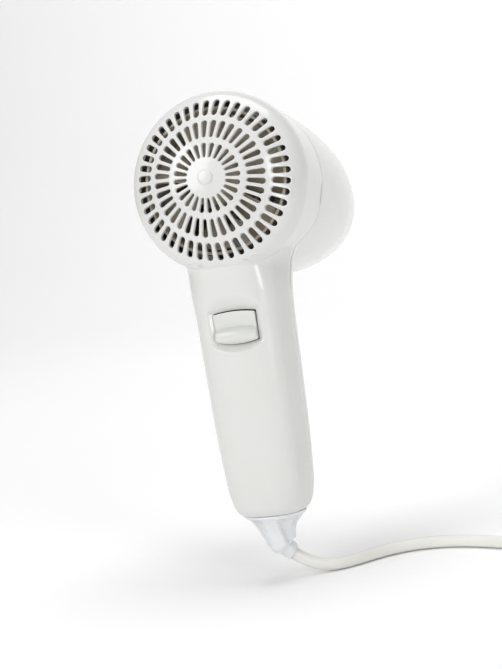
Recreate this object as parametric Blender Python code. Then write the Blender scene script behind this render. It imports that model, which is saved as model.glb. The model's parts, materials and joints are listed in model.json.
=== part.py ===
"""Hand-held hair dryer: domed rear grille, tapering barrel, vertical handle and mains lead.

The frame is upright: +Z up, +X to the right of the rear grille, +Y the way the air blows.
The origin is the middle of the hand grip, on the plane where the two handle halves meet.
The barrel's axis leans nose-down by NOSE_PITCH. Head pieces are modelled about their own Z,
which is the fan's axis, and hang from the empty "head_axis" that carries that lean.
"""

import math

import bmesh
import bpy
from mathutils import Matrix, Vector

# Fits between touching pieces
GAP = 0.0003
RUNNING_CLEARANCE = 0.00008

# Placing of the barrel over the hand grip
NOSE_PITCH = math.radians(10.0)
FAN_CENTRE = Vector((0.0, -0.020, 0.107))

# Rear dome and its grille
DOME_RADIUS = 0.0693
DOME_APEX = -0.0100
DOME_EDGE = 0.0405
RIM_RADIUS = 0.0456
WALL = 0.0020
SLOT_RINGS = (
    # slots, inner end, outer end, width at inner end, width at outer end
    (24, 0.0100, 0.0173, 0.00155, 0.00245),
    (36, 0.0200, 0.0289, 0.00200, 0.00300),
    (44, 0.0314, 0.0398, 0.00310, 0.00310),
)
DOME_BANDS = (0.0, 0.0088, 0.0187, 0.0302)
ROUND_SEGMENTS = 40
SEGMENT_TURN = math.radians(2.25)
BOSS_RADIUS = 0.0036
BOSS_HEIGHT = 0.0010

# Barrel
PARTING = 0.0410
PARTING_RADIUS = 0.0443
BARREL_LENGTH = 0.1450
OUTLET_RADIUS = 0.0325
BARREL_BULGE_A = (0.0443, PARTING + 0.4231 * (BARREL_LENGTH - PARTING))
BARREL_BULGE_B = (0.0400, PARTING + 0.7115 * (BARREL_LENGTH - PARTING))
LIP_ROUND = 0.0012
LIP_STEP = 0.0012
BARREL_STEPS = 7
TONGUE_LENGTH = 0.0045
TONGUE_THICKNESS = 0.0011

# Handle
HANDLE_TOP = 0.078
HANDLE_BOTTOM = -0.0640
HANDLE_WALL = 0.0022
HANDLE_SQUARENESS = 2.4
HOLLOW_OVERRUN = 0.004
REAR_HOLLOW_TOP = 0.0745
FRONT_HOLLOW_TOP = 0.0600
HANDLE_STATIONS = (
    # height, half width, rear depth, front depth
    (0.078, 0.0278, 0.0235, 0.0300),
    (0.066, 0.0268, 0.0222, 0.0255),
    (0.054, 0.0260, 0.0213, 0.0228),
    (0.040, 0.0252, 0.0207, 0.0212),
    (0.010, 0.0246, 0.0200, 0.0202),
    (-0.020, 0.0239, 0.0194, 0.0194),
    (-0.040, 0.0229, 0.0189, 0.0187),
    (-0.052, 0.0219, 0.0183, 0.0180),
    (-0.058, 0.0206, 0.0174, 0.0171),
    (-0.062, 0.0188, 0.0160, 0.0158),
    (-0.064, 0.0168, 0.0142, 0.0141),
)

# Rocker switch on the back of the handle
SWITCH_HEIGHT = 0.0330
RECESS_SIZE = (0.0300, 0.0240)
RECESS_DEPTH = 0.0014
ROCKER_SIZE = (0.0215, 0.0165)
ROCKER_FACE = 0.0213
ROCKER_DEPTH = 0.0075
ROCKER_AXIS_DEPTH = 0.0134
ROCKER_TILT = math.radians(8.0)
SWITCH_SIDE_GAP = 0.0006
SWITCH_END_GAP = 0.0013
PIN_RADIUS = 0.0010
PIN_OVERHANG = 0.0026
TRAY_SIZE = (0.0260, 0.0060, 0.0190)
TRAY_REAR = -0.0110
EAR_SIZE = (0.0016, 0.0070, 0.0070)
TAB_SIZE = (0.0040, 0.0050, 0.0008)
TAB_SPACING = 0.0080
TAB_REAR = -0.0050

# Fan, motor and its duct
DUCT_RADIUS = PARTING_RADIUS - 0.0075
DUCT_WALL = 0.0013
FAN_TIP = DUCT_RADIUS - DUCT_WALL - 0.0020
FAN_BLADES = 7
FAN_HUB = 0.0110
FAN_REAR = 0.0060
FAN_FRONT = 0.0230
BLADE_THICKNESS = 0.0011
BLADE_ROOT = FAN_HUB * 0.93
BLADE_CHORDS = (0.0140, 0.0220)
BLADE_PITCHES = (58.0, 36.0)
BLADE_STATIONS = 4
DUCT_REAR = 0.0045
DUCT_FRONT = 0.0610
STATOR_VANES = 6
DUCT_LUGS = (-90.0, 0.0, 180.0)
MOTOR_RADIUS = 0.0138
MOTOR_REAR = 0.0300
MOTOR_FRONT = 0.0560
SHAFT_RADIUS = 0.00115
CAN_WALL = 0.0009
CAN_BORE = 0.0028
ARMATURE_RADIUS = 0.0088
MAGNET_RADII = (0.0096, 0.0124)
MAGNET_SPREAD = math.radians(164.0)
BUSH_LENGTH = 0.0042

# Heater
HEATER_REAR = 0.0670
HEATER_FRONT = BARREL_LENGTH - 0.0120
SHIELD_RADIUS = 0.0300
SHIELD_WALL = 0.0006
COIL_RADIUS = SHIELD_RADIUS - SHIELD_WALL - 0.0022
MICA_HALF_WIDTH = COIL_RADIUS - 0.0014
MICA_THICKNESS = 0.0008
WIRE_RADIUS = 0.00040
ELEMENT_TURNS = 5
ELEMENT_PITCH = 0.0050

# Outlet grille
OUTLET_GRILLE_Z = BARREL_LENGTH - 0.0075
OUTLET_GRILLE_DEPTH = 0.0020
OUTLET_GRILLE_RINGS = (0.0070, 0.0145, 0.0220)
OUTLET_SPOKES = 6

# Housing screws, from the front of the handle
SCREW_HEIGHTS = (0.0020, -0.0320)
SCREW_BOSS = 0.0036
SCREW_SHANK = 0.0012
SCREW_HEAD = 0.0028
SCREW_SEAT_DEPTH = 0.0050
SCREW_LENGTH = 0.0240

# Mains lead
CORD_RADIUS = 0.0032
CORD_EXIT = Vector((0.0062, 0.0010, -0.0868))
CORD_DIRECTION = Vector((0.729, 0.195, -0.656)).normalized()
FLOOR = -0.0995
COIL_CENTRE = Vector((0.2250, 0.0500, FLOOR))
COIL_INNER = 0.0255
COIL_OUTER = 0.0455
COIL_HEIGHT = 0.0196
CORD_ROUTE = (
    (0.0062, 0.0010, -0.0868),
    (0.0098, 0.0020, -0.0898),
    (0.0148, 0.0036, -0.0930),
    (0.0208, 0.0062, -0.0953),
    (0.0276, 0.0103, -0.0963),
    (0.0345, 0.0168, -0.0963),
    (0.0412, 0.0252, -0.0963),
    (0.0500, 0.0337, -0.0963),
    (0.0620, 0.0395, -0.0963),
    (0.0770, 0.0403, -0.0963),
    (0.0935, 0.0357, -0.0963),
    (0.1120, 0.0265, -0.0963),
    (0.1330, 0.0158, -0.0963),
    (0.1570, 0.0065, -0.0963),
    (0.1830, 0.0018, -0.0963),
    (0.2080, 0.0007, -0.0963),
    (0.2250, 0.0010, -0.0963),
)
CORD_POINT_SPACING = 0.0085
CORE_RADIUS = 0.0010
WIRE_LANE = 0.0389

# Plug, lying on the coil
PLUG_LENGTH = 0.0300
PLUG_WIDTH = 0.0220
PLUG_HEIGHT = 0.0130
BLADE_LENGTH = 0.0165

# Strain relief
RELIEF_STATIONS = (
    # height, half width, half depth, sideways shift, share of the lean towards the lead
    (-0.0565, 0.0130, 0.0110, 0.0, 0.0),
    (-0.0614, 0.0130, 0.0110, 0.0, 0.0),
    (-0.0615, 0.0110, 0.0095, 0.0, 0.0),
    (-0.0642, 0.0110, 0.0095, 0.0, 0.0),
    (-0.0643, 0.0166, 0.0140, 0.0, 0.0),
    (-0.0660, 0.0158, 0.0132, 0.0, 0.0),
    (-0.0690, 0.0126, 0.0108, 0.0, 0.0),
    (-0.0725, 0.0101, 0.0090, 0.0001, 0.05),
    (-0.0765, 0.0087, 0.0078, 0.0007, 0.20),
    (-0.0800, 0.0078, 0.0070, 0.0016, 0.40),
    (-0.0822, 0.0068, 0.0063, 0.0025, 0.60),
    (-0.0834, 0.0045, 0.0045, 0.0033, 0.90),
    (CORD_EXIT.z, 0.0044, 0.0044, CORD_EXIT.x, 1.0),
)
RELIEF_NECK = 3


def clear_scene():
    for old in list(bpy.data.objects):
        bpy.data.objects.remove(old, do_unlink=True)


def material(name, colour, roughness, metallic=0.0):
    made = bpy.data.materials.new(name)
    made.use_nodes = True
    shader = made.node_tree.nodes["Principled BSDF"]
    shader.inputs["Base Color"].default_value = (*colour, 1.0)
    shader.inputs["Roughness"].default_value = roughness
    shader.inputs["Metallic"].default_value = metallic
    return made


def add_object(name, bm, finish=None, parent=None):
    """Turns a bmesh into a named object, with its faces pointing out and smooth where round."""
    bmesh.ops.recalc_face_normals(bm, faces=bm.faces)
    mesh = bpy.data.meshes.new(name)
    bm.to_mesh(mesh)
    bm.free()
    if finish:
        mesh.materials.append(finish)
    mesh.shade_smooth()
    mesh.set_sharp_from_angle(angle=math.radians(35.0))
    obj = bpy.data.objects.new(name, mesh)
    bpy.context.scene.collection.objects.link(obj)
    obj.parent = parent
    return obj


def turned(outline, segments, sweep=2.0 * math.pi):
    """A bmesh turned about Z from (radius, height) points. A full turn closes on itself."""
    bm = bmesh.new()
    verts = [bm.verts.new((r, 0.0, z)) for r, z in outline]
    ring = [bm.edges.new((a, b)) for a, b in zip(verts, verts[1:])]
    if outline[0][0] > 1e-7 or outline[-1][0] > 1e-7:
        ring.append(bm.edges.new((verts[-1], verts[0])))
    full = sweep > 2.0 * math.pi - 1e-6
    if not full:
        bm.faces.new(verts)
    bmesh.ops.spin(
        bm,
        geom=verts + ring + list(bm.faces),
        axis=(0.0, 0.0, 1.0),
        cent=(0.0, 0.0, 0.0),
        angle=sweep,
        steps=segments,
        use_merge=full,
    )
    bmesh.ops.remove_doubles(bm, verts=bm.verts, dist=1e-6)
    return bm


def loft(sections):
    """A bmesh skinned through closed sections of equal point count, with flat ends."""
    bm = bmesh.new()
    loops = [[bm.verts.new(p) for p in section] for section in sections]
    for low, high in zip(loops, loops[1:]):
        for i, _ in enumerate(low):
            j = (i + 1) % len(low)
            bm.faces.new((low[i], low[j], high[j], high[i]))
    bm.faces.new(loops[0])
    bm.faces.new(loops[-1])
    return bm


def box(size, centre=(0.0, 0.0, 0.0)):
    bm = bmesh.new()
    bmesh.ops.create_cube(bm, size=1.0)
    bmesh.ops.scale(bm, vec=size, verts=bm.verts)
    bmesh.ops.translate(bm, vec=centre, verts=bm.verts)
    return bm


def cylinder(radius, start, end, segments=16, tip_radius=None):
    """A round bar from start to end, or a cone if tip_radius is given."""
    start = Vector(start)
    end = Vector(end)
    along = end - start
    bm = bmesh.new()
    bmesh.ops.create_cone(
        bm,
        cap_ends=True,
        segments=segments,
        radius1=radius,
        radius2=radius if tip_radius is None else tip_radius,
        depth=along.length,
    )
    turn = along.to_track_quat("Z", "Y").to_matrix().to_4x4()
    bmesh.ops.transform(bm, matrix=Matrix.Translation((start + end) / 2) @ turn, verts=bm.verts)
    return bm


def moved(bm, matrix):
    bmesh.ops.transform(bm, matrix=matrix, verts=bm.verts)
    return bm


def gathered(parts):
    """Several closed shapes in one bmesh, to be used as one cutter or one addition."""
    whole = bmesh.new()
    for part in parts:
        spare = bpy.data.meshes.new("spare")
        part.to_mesh(spare)
        part.free()
        whole.from_mesh(spare)
        bpy.data.meshes.remove(spare)
    return whole


def combine(obj, bm, operation, crossing=False):
    """Unites or cuts obj with the shape in bm, in world space, and keeps the result as its mesh.

    crossing says that the shapes gathered in bm run through one another.
    """
    tool = add_object("tool", bm)
    tool.hide_render = True
    step = obj.modifiers.new("step", "BOOLEAN")
    step.operation = operation
    step.solver = "EXACT"
    step.object = tool
    step.use_self = crossing
    bpy.context.view_layer.update()
    graph = bpy.context.evaluated_depsgraph_get()
    result = bpy.data.meshes.new_from_object(obj.evaluated_get(graph))
    obj.modifiers.clear()
    obj.data = result
    bpy.data.objects.remove(tool, do_unlink=True)


def cut(obj, bm):
    combine(obj, bm, "DIFFERENCE")


def unite(obj, bm, crossing=False):
    combine(obj, bm, "UNION", crossing)


def head_matrix():
    return Matrix.Translation(FAN_CENTRE) @ Matrix.Rotation(-math.pi / 2 - NOSE_PITCH, 4, "X")


def arc(centre, radius, start, end, steps):
    """(radius, height) points on a circle, angles from the radial direction."""
    points = []
    for i in range(steps + 1):
        angle = start + (end - start) * i / steps
        points.append((centre[0] + radius * math.cos(angle), centre[1] + radius * math.sin(angle)))
    return points


def dome_height(radius, inset=0.0):
    """Height of the dome at a radius, or of the surface inset below it."""
    sphere = DOME_RADIUS - inset
    return DOME_APEX + DOME_RADIUS - math.sqrt(sphere * sphere - radius * radius)


def rear_outline(inset, end, rim_steps=3):
    """The rear shell's outer line, or the same line inset, from the axis to the parting."""
    slope = math.asin(DOME_EDGE / DOME_RADIUS)
    rim_round = (RIM_RADIUS - DOME_EDGE) / (1.0 - math.sin(slope))
    centre = (RIM_RADIUS - rim_round, dome_height(DOME_EDGE) + rim_round * math.cos(slope))
    points = []
    for radius in DOME_BANDS:
        scaled = radius * (DOME_RADIUS - inset) / DOME_RADIUS
        points.append((scaled, dome_height(scaled, inset)))
    points += arc(centre, rim_round - inset, slope - math.pi / 2, 0.0, rim_steps)
    drift = (PARTING_RADIUS - RIM_RADIUS) * (end - centre[1]) / (PARTING - centre[1])
    points.append((RIM_RADIUS + drift - inset, end))
    return points


def barrel_radius_points(steps):
    """(radius, height) of the barrel's outside, on one cubic curve from the parting to the outlet."""
    ends = ((PARTING_RADIUS, PARTING), BARREL_BULGE_A, BARREL_BULGE_B, (OUTLET_RADIUS, BARREL_LENGTH))
    points = []
    for i in range(steps + 1):
        t = i / steps
        weights = ((1 - t) ** 3, 3 * t * (1 - t) ** 2, 3 * t * t * (1 - t), t**3)
        points.append(tuple(sum(w * e[k] for w, e in zip(weights, ends)) for k in (0, 1)))
    return points


def superellipse(half_width, rear, front, start, end, steps):
    """Points of the handle's section, angle 0 at +X and 90 degrees at the front."""
    points = []
    power = 2.0 / HANDLE_SQUARENESS
    for i in range(steps + 1):
        angle = start + (end - start) * i / steps
        c = math.cos(angle)
        s = math.sin(angle)
        x = half_width * math.copysign(abs(c) ** power, c) if abs(c) > 1e-9 else 0.0
        y = (front if s > 0 else rear) * math.copysign(abs(s) ** power, s) if abs(s) > 1e-9 else 0.0
        points.append((x, y))
    return points


def handle_half(side, inset, bottom, top=HANDLE_TOP, steps=12):
    """One half of the handle as a solid: side -1 is the rear half and +1 the front half."""
    sections = []
    stations = [s for s in HANDLE_STATIONS if bottom < s[0] < top]
    for height in (bottom, top):
        stations.append((height, *handle_size(height)))
    for height, half_width, rear, front in sorted(stations):
        section = superellipse(
            half_width - inset, rear - inset, front - inset, 0.0, side * math.pi, steps
        )
        points = [(x, y + side * GAP / 2, height) for x, y in section]
        if inset:
            over = -side * HOLLOW_OVERRUN
            points = [(half_width - inset, over, height), *points, (inset - half_width, over, height)]
        sections.append(points)
    return loft(sections)


def handle_size(height):
    """Half width, rear depth and front depth of the handle at a height, between its stations."""
    stations = HANDLE_STATIONS
    for upper, lower in zip(stations, stations[1:]):
        if lower[0] <= height <= upper[0]:
            t = (height - lower[0]) / (upper[0] - lower[0])
            return tuple(lower[k] + t * (upper[k] - lower[k]) for k in (1, 2, 3))
    return stations[-1][1:]


def grille_slots():
    """One closed prism for each slot of the rear grille, long enough to pass through the dome."""
    slots = []
    for count, inner, outer, width_in, width_out in SLOT_RINGS:
        for i in range(count):
            turn = Matrix.Rotation(2.0 * math.pi * i / count, 4, "Z")
            outline = [
                (inner + width_in / 2, -width_in / 2),
                (outer - width_out / 2, -width_out / 2),
                (outer, 0.0),
                (outer - width_out / 2, width_out / 2),
                (inner + width_in / 2, width_in / 2),
                (inner, 0.0),
            ]
            slots.append(moved(loft([[(x, y, z) for x, y in outline] for z in (-0.02, 0.012)]), turn))
    return gathered(slots)


def make_rear_housing(finish):
    head = head_matrix()
    outer = rear_outline(0.0, PARTING - GAP / 2)
    inner = rear_outline(WALL, PARTING - GAP / 2)
    body = turned(outer + inner[::-1], ROUND_SEGMENTS)
    body = moved(body, head @ Matrix.Rotation(SEGMENT_TURN, 4, "Z"))
    shell = add_object("rear_housing", body, finish)
    boss = turned(
        [
            (0.0, DOME_APEX - BOSS_HEIGHT),
            (BOSS_RADIUS * 0.8, DOME_APEX - BOSS_HEIGHT),
            (BOSS_RADIUS, DOME_APEX - BOSS_HEIGHT * 0.5),
            (BOSS_RADIUS, DOME_APEX + WALL / 2),
            (0.0, DOME_APEX + WALL / 2),
        ],
        12,
    )
    unite(shell, moved(boss, head))
    cut(shell, moved(grille_slots(), head))
    grip = add_object("grip", handle_half(-1, 0.0, HANDLE_BOTTOM), finish)
    middle = rear_outline(WALL / 2, 0.070)
    cut(grip, moved(turned(middle + [(0.0, 0.070)], ROUND_SEGMENTS), head))
    spare = bmesh.new()
    spare.from_mesh(grip.data)
    bpy.data.objects.remove(grip, do_unlink=True)
    unite(shell, spare)
    cut(shell, handle_half(-1, HANDLE_WALL, HANDLE_BOTTOM + HANDLE_WALL, top=REAR_HOLLOW_TOP))
    for height in SCREW_HEIGHTS:
        depth = handle_size(height)[1]
        unite(shell, cylinder(SCREW_BOSS, (0, -depth + HANDLE_WALL / 2, height), (0, -GAP / 2, height)))
        cut(shell, cylinder(SCREW_SHANK + GAP, (0, -depth + 0.006, height), (0, 0.001, height), 12))
    cut(shell, relief_opening())
    cut(shell, switch_recess())
    width, height = ROCKER_SIZE
    window = (width + 2 * SWITCH_SIDE_GAP, 0.02, height + 2 * SWITCH_END_GAP)
    cut(shell, box(window, (0.0, -0.0240, SWITCH_HEIGHT)))
    return shell


def switch_recess():
    """The shallow pocket round the rocker: a frame-sized block less the handle's inset surface."""
    width, height = RECESS_SIZE
    block = add_object("block", box((width, 0.02, height), (0.0, -0.0240, SWITCH_HEIGHT)))
    cut(block, handle_half(-1, RECESS_DEPTH, SWITCH_HEIGHT - 0.03, top=SWITCH_HEIGHT + 0.03))
    pocket = bmesh.new()
    pocket.from_mesh(block.data)
    bpy.data.objects.remove(block, do_unlink=True)
    return pocket


def make_front_housing(finish):
    head = head_matrix()
    outside = barrel_radius_points(BARREL_STEPS)
    lip = arc(
        (OUTLET_RADIUS - LIP_ROUND, BARREL_LENGTH - LIP_ROUND), LIP_ROUND, 0.0, math.pi / 2, 3
    )
    outside = [(PARTING_RADIUS, PARTING + GAP / 2)] + outside[1:-1] + lip
    inside = [(r - WALL, z) for r, z in barrel_radius_points(BARREL_STEPS)[1:-1]]
    inside.append((OUTLET_RADIUS - WALL - LIP_STEP, BARREL_LENGTH))
    tongue_outer = PARTING_RADIUS - WALL - GAP
    tongue = [
        (tongue_outer - TONGUE_THICKNESS, PARTING + 0.004),
        (tongue_outer - TONGUE_THICKNESS, PARTING - TONGUE_LENGTH),
        (tongue_outer, PARTING - TONGUE_LENGTH),
        (tongue_outer, PARTING + GAP / 2),
    ]
    shell = add_object(
        "front_housing", moved(turned(outside + inside[::-1] + tongue, ROUND_SEGMENTS), head), finish
    )
    grip = add_object("grip", handle_half(1, 0.0, HANDLE_BOTTOM), finish)
    middle = [(r - WALL / 2, z) for r, z in barrel_radius_points(BARREL_STEPS)]
    middle = [(0.0, middle[0][1])] + middle + [(0.0, BARREL_LENGTH)]
    cut(grip, moved(turned(middle, ROUND_SEGMENTS), head))
    rear_zone = rear_outline(-GAP, PARTING + GAP / 2 + 0.00005)
    cut(grip, moved(turned(rear_zone + [(0.0, PARTING + GAP / 2 + 0.00005)], ROUND_SEGMENTS), head))
    spare = bmesh.new()
    spare.from_mesh(grip.data)
    bpy.data.objects.remove(grip, do_unlink=True)
    unite(shell, spare)
    cut(shell, handle_half(1, HANDLE_WALL, HANDLE_BOTTOM + HANDLE_WALL, top=FRONT_HOLLOW_TOP))
    for height in SCREW_HEIGHTS:
        depth = handle_size(height)[2]
        seat = depth - SCREW_SEAT_DEPTH
        unite(shell, cylinder(SCREW_BOSS + 0.0010, (0, GAP / 2, height), (0, depth - 0.0011, height)))
        cut(shell, cylinder(SCREW_HEAD + GAP, (0, seat, height), (0, depth + 0.01, height)))
        cut(shell, cylinder(SCREW_SHANK + GAP, (0, -0.001, height), (0, depth, height), 12))
    cut(shell, relief_opening())
    return shell


def relief_opening():
    """The hole in the foot of the handle that the strain relief's neck passes through."""
    neck = RELIEF_STATIONS[RELIEF_NECK]
    sections = []
    for height in (HANDLE_BOTTOM - 0.002, HANDLE_BOTTOM + 0.004):
        section = superellipse(neck[1] + GAP, neck[2] + GAP, neck[2] + GAP, 0.0, 2 * math.pi, 20)
        sections.append([(x, y, height) for x, y in section[:-1]])
    return loft(sections)



def make_strain_relief(finish):
    down = Vector((0.0, 0.0, -1.0))
    lean = down.rotation_difference(CORD_DIRECTION)
    level = lean.__class__((1.0, 0.0, 0.0, 0.0))
    sections = []
    for height, half_width, half_depth, shift, share in RELIEF_STATIONS:
        turn = level.slerp(lean, share)
        centre = Vector((shift, shift * CORD_EXIT.y / CORD_EXIT.x, height))
        ring = superellipse(half_width, half_depth, half_depth, 0.0, 2 * math.pi, 20)[:-1]
        sections.append([centre + turn @ Vector((x, y, 0.0)) for x, y in ring])
    return add_object("strain_relief", loft(sections), finish)


def rocker_outline(shrink=0.0):
    """Side view of the rocker as (depth, height) points: a dished face with a thumb ridge low down."""
    half = ROCKER_SIZE[1] / 2 - shrink
    back = -ROCKER_FACE + ROCKER_DEPTH
    return [
        (back, -half * 0.70),
        (-ROCKER_FACE + 0.0012, -half),
        (-ROCKER_FACE - 0.0006, -half * 0.93),
        (-ROCKER_FACE - 0.0016, -half * 0.55),
        (-ROCKER_FACE - 0.0010, -half * 0.08),
        (-ROCKER_FACE + 0.0002, half * 0.05),
        (-ROCKER_FACE + 0.0001, half * 0.60),
        (-ROCKER_FACE - 0.0002, half * 0.94),
        (-ROCKER_FACE + 0.0010, half),
        (back, half * 0.70),
    ]


def make_rocker(finish, steel):
    axis = Vector((0.0, -ROCKER_AXIS_DEPTH, SWITCH_HEIGHT))
    width = ROCKER_SIZE[0] / 2
    outline = rocker_outline()
    sections = [[(x, y, SWITCH_HEIGHT + z) for y, z in outline] for x in (-width, width)]
    rocker = add_object("rocker", moved(loft(sections), Matrix.Translation(-axis)), finish)
    cut(rocker, cylinder(PIN_RADIUS + RUNNING_CLEARANCE, (-0.03, 0, 0), (0.03, 0, 0), 16))
    rocker.location = axis
    half_span = ROCKER_SIZE[0] / 2 + PIN_OVERHANG
    pin = cylinder(PIN_RADIUS, (-half_span, 0.0, 0.0), (half_span, 0.0, 0.0), 16)
    rocker_pin = add_object("rocker_pin", pin, steel)
    rocker_pin.location = axis
    return rocker


def make_switch_body(finish, brass):
    """The switch under the rocker: a tray with two ears that hold the rocker's pin."""
    ear_x = ROCKER_SIZE[0] / 2 + 0.0010 + EAR_SIZE[0] / 2
    tray = box(TRAY_SIZE, (0.0, TRAY_REAR + TRAY_SIZE[1] / 2, SWITCH_HEIGHT))
    body = add_object("switch_body", tray, finish)
    for side in (-1, 1):
        ear = box(EAR_SIZE, (side * ear_x, -ROCKER_AXIS_DEPTH + 0.0020, SWITCH_HEIGHT))
        unite(body, ear)
    hole = cylinder(
        PIN_RADIUS + RUNNING_CLEARANCE,
        (-0.03, -ROCKER_AXIS_DEPTH, SWITCH_HEIGHT),
        (0.03, -ROCKER_AXIS_DEPTH, SWITCH_HEIGHT),
        16,
    )
    cut(body, hole)
    for i, name in enumerate(("switch_tab_common", "switch_tab_low", "switch_tab_high")):
        x = (i - 1) * TAB_SPACING
        tab = box(TAB_SIZE, (x, TAB_REAR + GAP + TAB_SIZE[1] / 2, SWITCH_HEIGHT))
        add_object(name, tab, brass)


def make_screws(steel):
    for name, height in zip(("housing_screw_upper", "housing_screw_lower"), SCREW_HEIGHTS):
        depth = handle_size(height)[2]
        seat = depth - SCREW_SEAT_DEPTH + GAP
        outline = [
            (0.0, 0.0024),
            (SCREW_HEAD * 0.6, 0.0023),
            (SCREW_HEAD, 0.0014),
            (SCREW_HEAD, 0.0),
            (SCREW_SHANK, 0.0),
            (SCREW_SHANK, -SCREW_LENGTH),
            (0.0, -SCREW_LENGTH - 0.0016),
        ]
        screw = add_object(name, turned(outline, 16), steel)
        cut(screw, box((0.0044, 0.0008, 0.0020), (0.0, 0.0, 0.0024)))
        cut(screw, box((0.0008, 0.0044, 0.0020), (0.0, 0.0, 0.0024)))
        screw.location = (0.0, seat, height)
        screw.rotation_euler = (-math.pi / 2, 0.0, 0.0)


def make_fan(finish, parent):
    bore = SHAFT_RADIUS + RUNNING_CLEARANCE / 2
    hub = turned(
        [
            (bore, FAN_REAR),
            (FAN_HUB * 0.55, FAN_REAR),
            (FAN_HUB * 0.90, FAN_REAR + 0.0020),
            (FAN_HUB, FAN_REAR + 0.0060),
            (FAN_HUB, FAN_FRONT),
            (bore, FAN_FRONT),
        ],
        28,
    )
    fan = add_object("fan", hub, finish, parent)
    middle = (FAN_REAR + FAN_FRONT) / 2 + 0.0006
    blades = []
    for i in range(FAN_BLADES):
        sections = []
        for k in range(BLADE_STATIONS):
            share = k / (BLADE_STATIONS - 1)
            radius = BLADE_ROOT + (FAN_TIP - BLADE_ROOT) * share
            pitch = math.radians(BLADE_PITCHES[0] + (BLADE_PITCHES[1] - BLADE_PITCHES[0]) * share)
            chord = BLADE_CHORDS[0] + (BLADE_CHORDS[1] - BLADE_CHORDS[0]) * share
            along = Vector((0.0, math.cos(pitch), math.sin(pitch)))
            across = Vector((0.0, -math.sin(pitch), math.cos(pitch)))
            centre = Vector((radius, 0.0, middle))
            corners = ((-1, -1), (1, -1), (1, 1), (-1, 1))
            section = [
                centre + along * (chord / 2 * u) + across * (BLADE_THICKNESS / 2 * v)
                for u, v in corners
            ]
            sections.append(section)
        turn = Matrix.Rotation(2.0 * math.pi * i / FAN_BLADES, 4, "Z")
        blades.append(moved(loft(sections), turn))
    blade_set = gathered(blades)
    unite(fan, moved(blade_set, head_matrix()) if parent else blade_set)
    return fan


def make_motor(finishes, parent):
    steel, dark, copper, magnet, white = finishes
    bore = CAN_BORE
    can = [
        (bore, MOTOR_REAR),
        (MOTOR_RADIUS - 0.0010, MOTOR_REAR),
        (MOTOR_RADIUS, MOTOR_REAR + 0.0010),
        (MOTOR_RADIUS, MOTOR_FRONT),
        (MOTOR_RADIUS - CAN_WALL, MOTOR_FRONT),
        (MOTOR_RADIUS - CAN_WALL, MOTOR_REAR + CAN_WALL),
        (bore, MOTOR_REAR + CAN_WALL),
    ]
    add_object("motor_can", turned(can, 32), steel, parent)
    cap = [
        (bore, MOTOR_FRONT + GAP),
        (MOTOR_RADIUS - 0.0002, MOTOR_FRONT + GAP),
        (MOTOR_RADIUS - 0.0008, MOTOR_FRONT + 0.0024),
        (0.0046, MOTOR_FRONT + 0.0024),
        (0.0042, MOTOR_FRONT + 0.0038),
        (bore, MOTOR_FRONT + 0.0038),
    ]
    add_object("motor_end_cap", turned(cap, 28), dark, parent)
    running = SHAFT_RADIUS + RUNNING_CLEARANCE
    for name, start in (("bush_rear", MOTOR_REAR - 0.0012), ("bush_front", MOTOR_FRONT - 0.0006)):
        end = start + BUSH_LENGTH
        bush = [(running, start), (bore - GAP, start), (bore - GAP, end), (running, end)]
        add_object(name, turned(bush, 20), copper, parent)
    shaft = cylinder(SHAFT_RADIUS, (0, 0, FAN_REAR - 0.0010), (0, 0, MOTOR_FRONT + 0.0048), 20)
    add_object("motor_shaft", shaft, steel, parent)
    core_bore = SHAFT_RADIUS + RUNNING_CLEARANCE / 2
    core = [
        (core_bore, MOTOR_REAR + 0.0045),
        (ARMATURE_RADIUS, MOTOR_REAR + 0.0045),
        (ARMATURE_RADIUS, MOTOR_FRONT - 0.0050),
        (core_bore, MOTOR_FRONT - 0.0050),
    ]
    add_object("armature", turned(core, 24), copper, parent)
    for i, name in enumerate(("magnet_left", "magnet_right")):
        outline = [
            (MAGNET_RADII[0], MOTOR_REAR + 0.0030),
            (MAGNET_RADII[1], MOTOR_REAR + 0.0030),
            (MAGNET_RADII[1], MOTOR_FRONT - 0.0030),
            (MAGNET_RADII[0], MOTOR_FRONT - 0.0030),
        ]
        turn = Matrix.Rotation(math.pi - MAGNET_SPREAD / 2 + math.pi * i, 4, "Z")
        add_object(name, moved(turned(outline, 12, MAGNET_SPREAD), turn), magnet, parent)
    make_rectifier(dark, white, parent)


def make_rectifier(dark, board_finish, parent):
    low = MOTOR_FRONT + 0.0054
    outline = [(0.0034, low), (0.0128, low), (0.0128, low + 0.0010), (0.0034, low + 0.0010)]
    add_object("rectifier_board", turned(outline, 24), board_finish, parent)
    for i in range(4):
        angle = math.pi / 4 + i * math.pi / 2
        centre = Vector((0.0085 * math.cos(angle), 0.0085 * math.sin(angle), low + 0.0010 + GAP + 0.0012))
        along = Vector((-math.sin(angle), math.cos(angle), 0.0)) * 0.0023
        add_object(f"diode_{i + 1}", cylinder(0.0012, centre - along, centre + along, 12), dark, parent)


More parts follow.
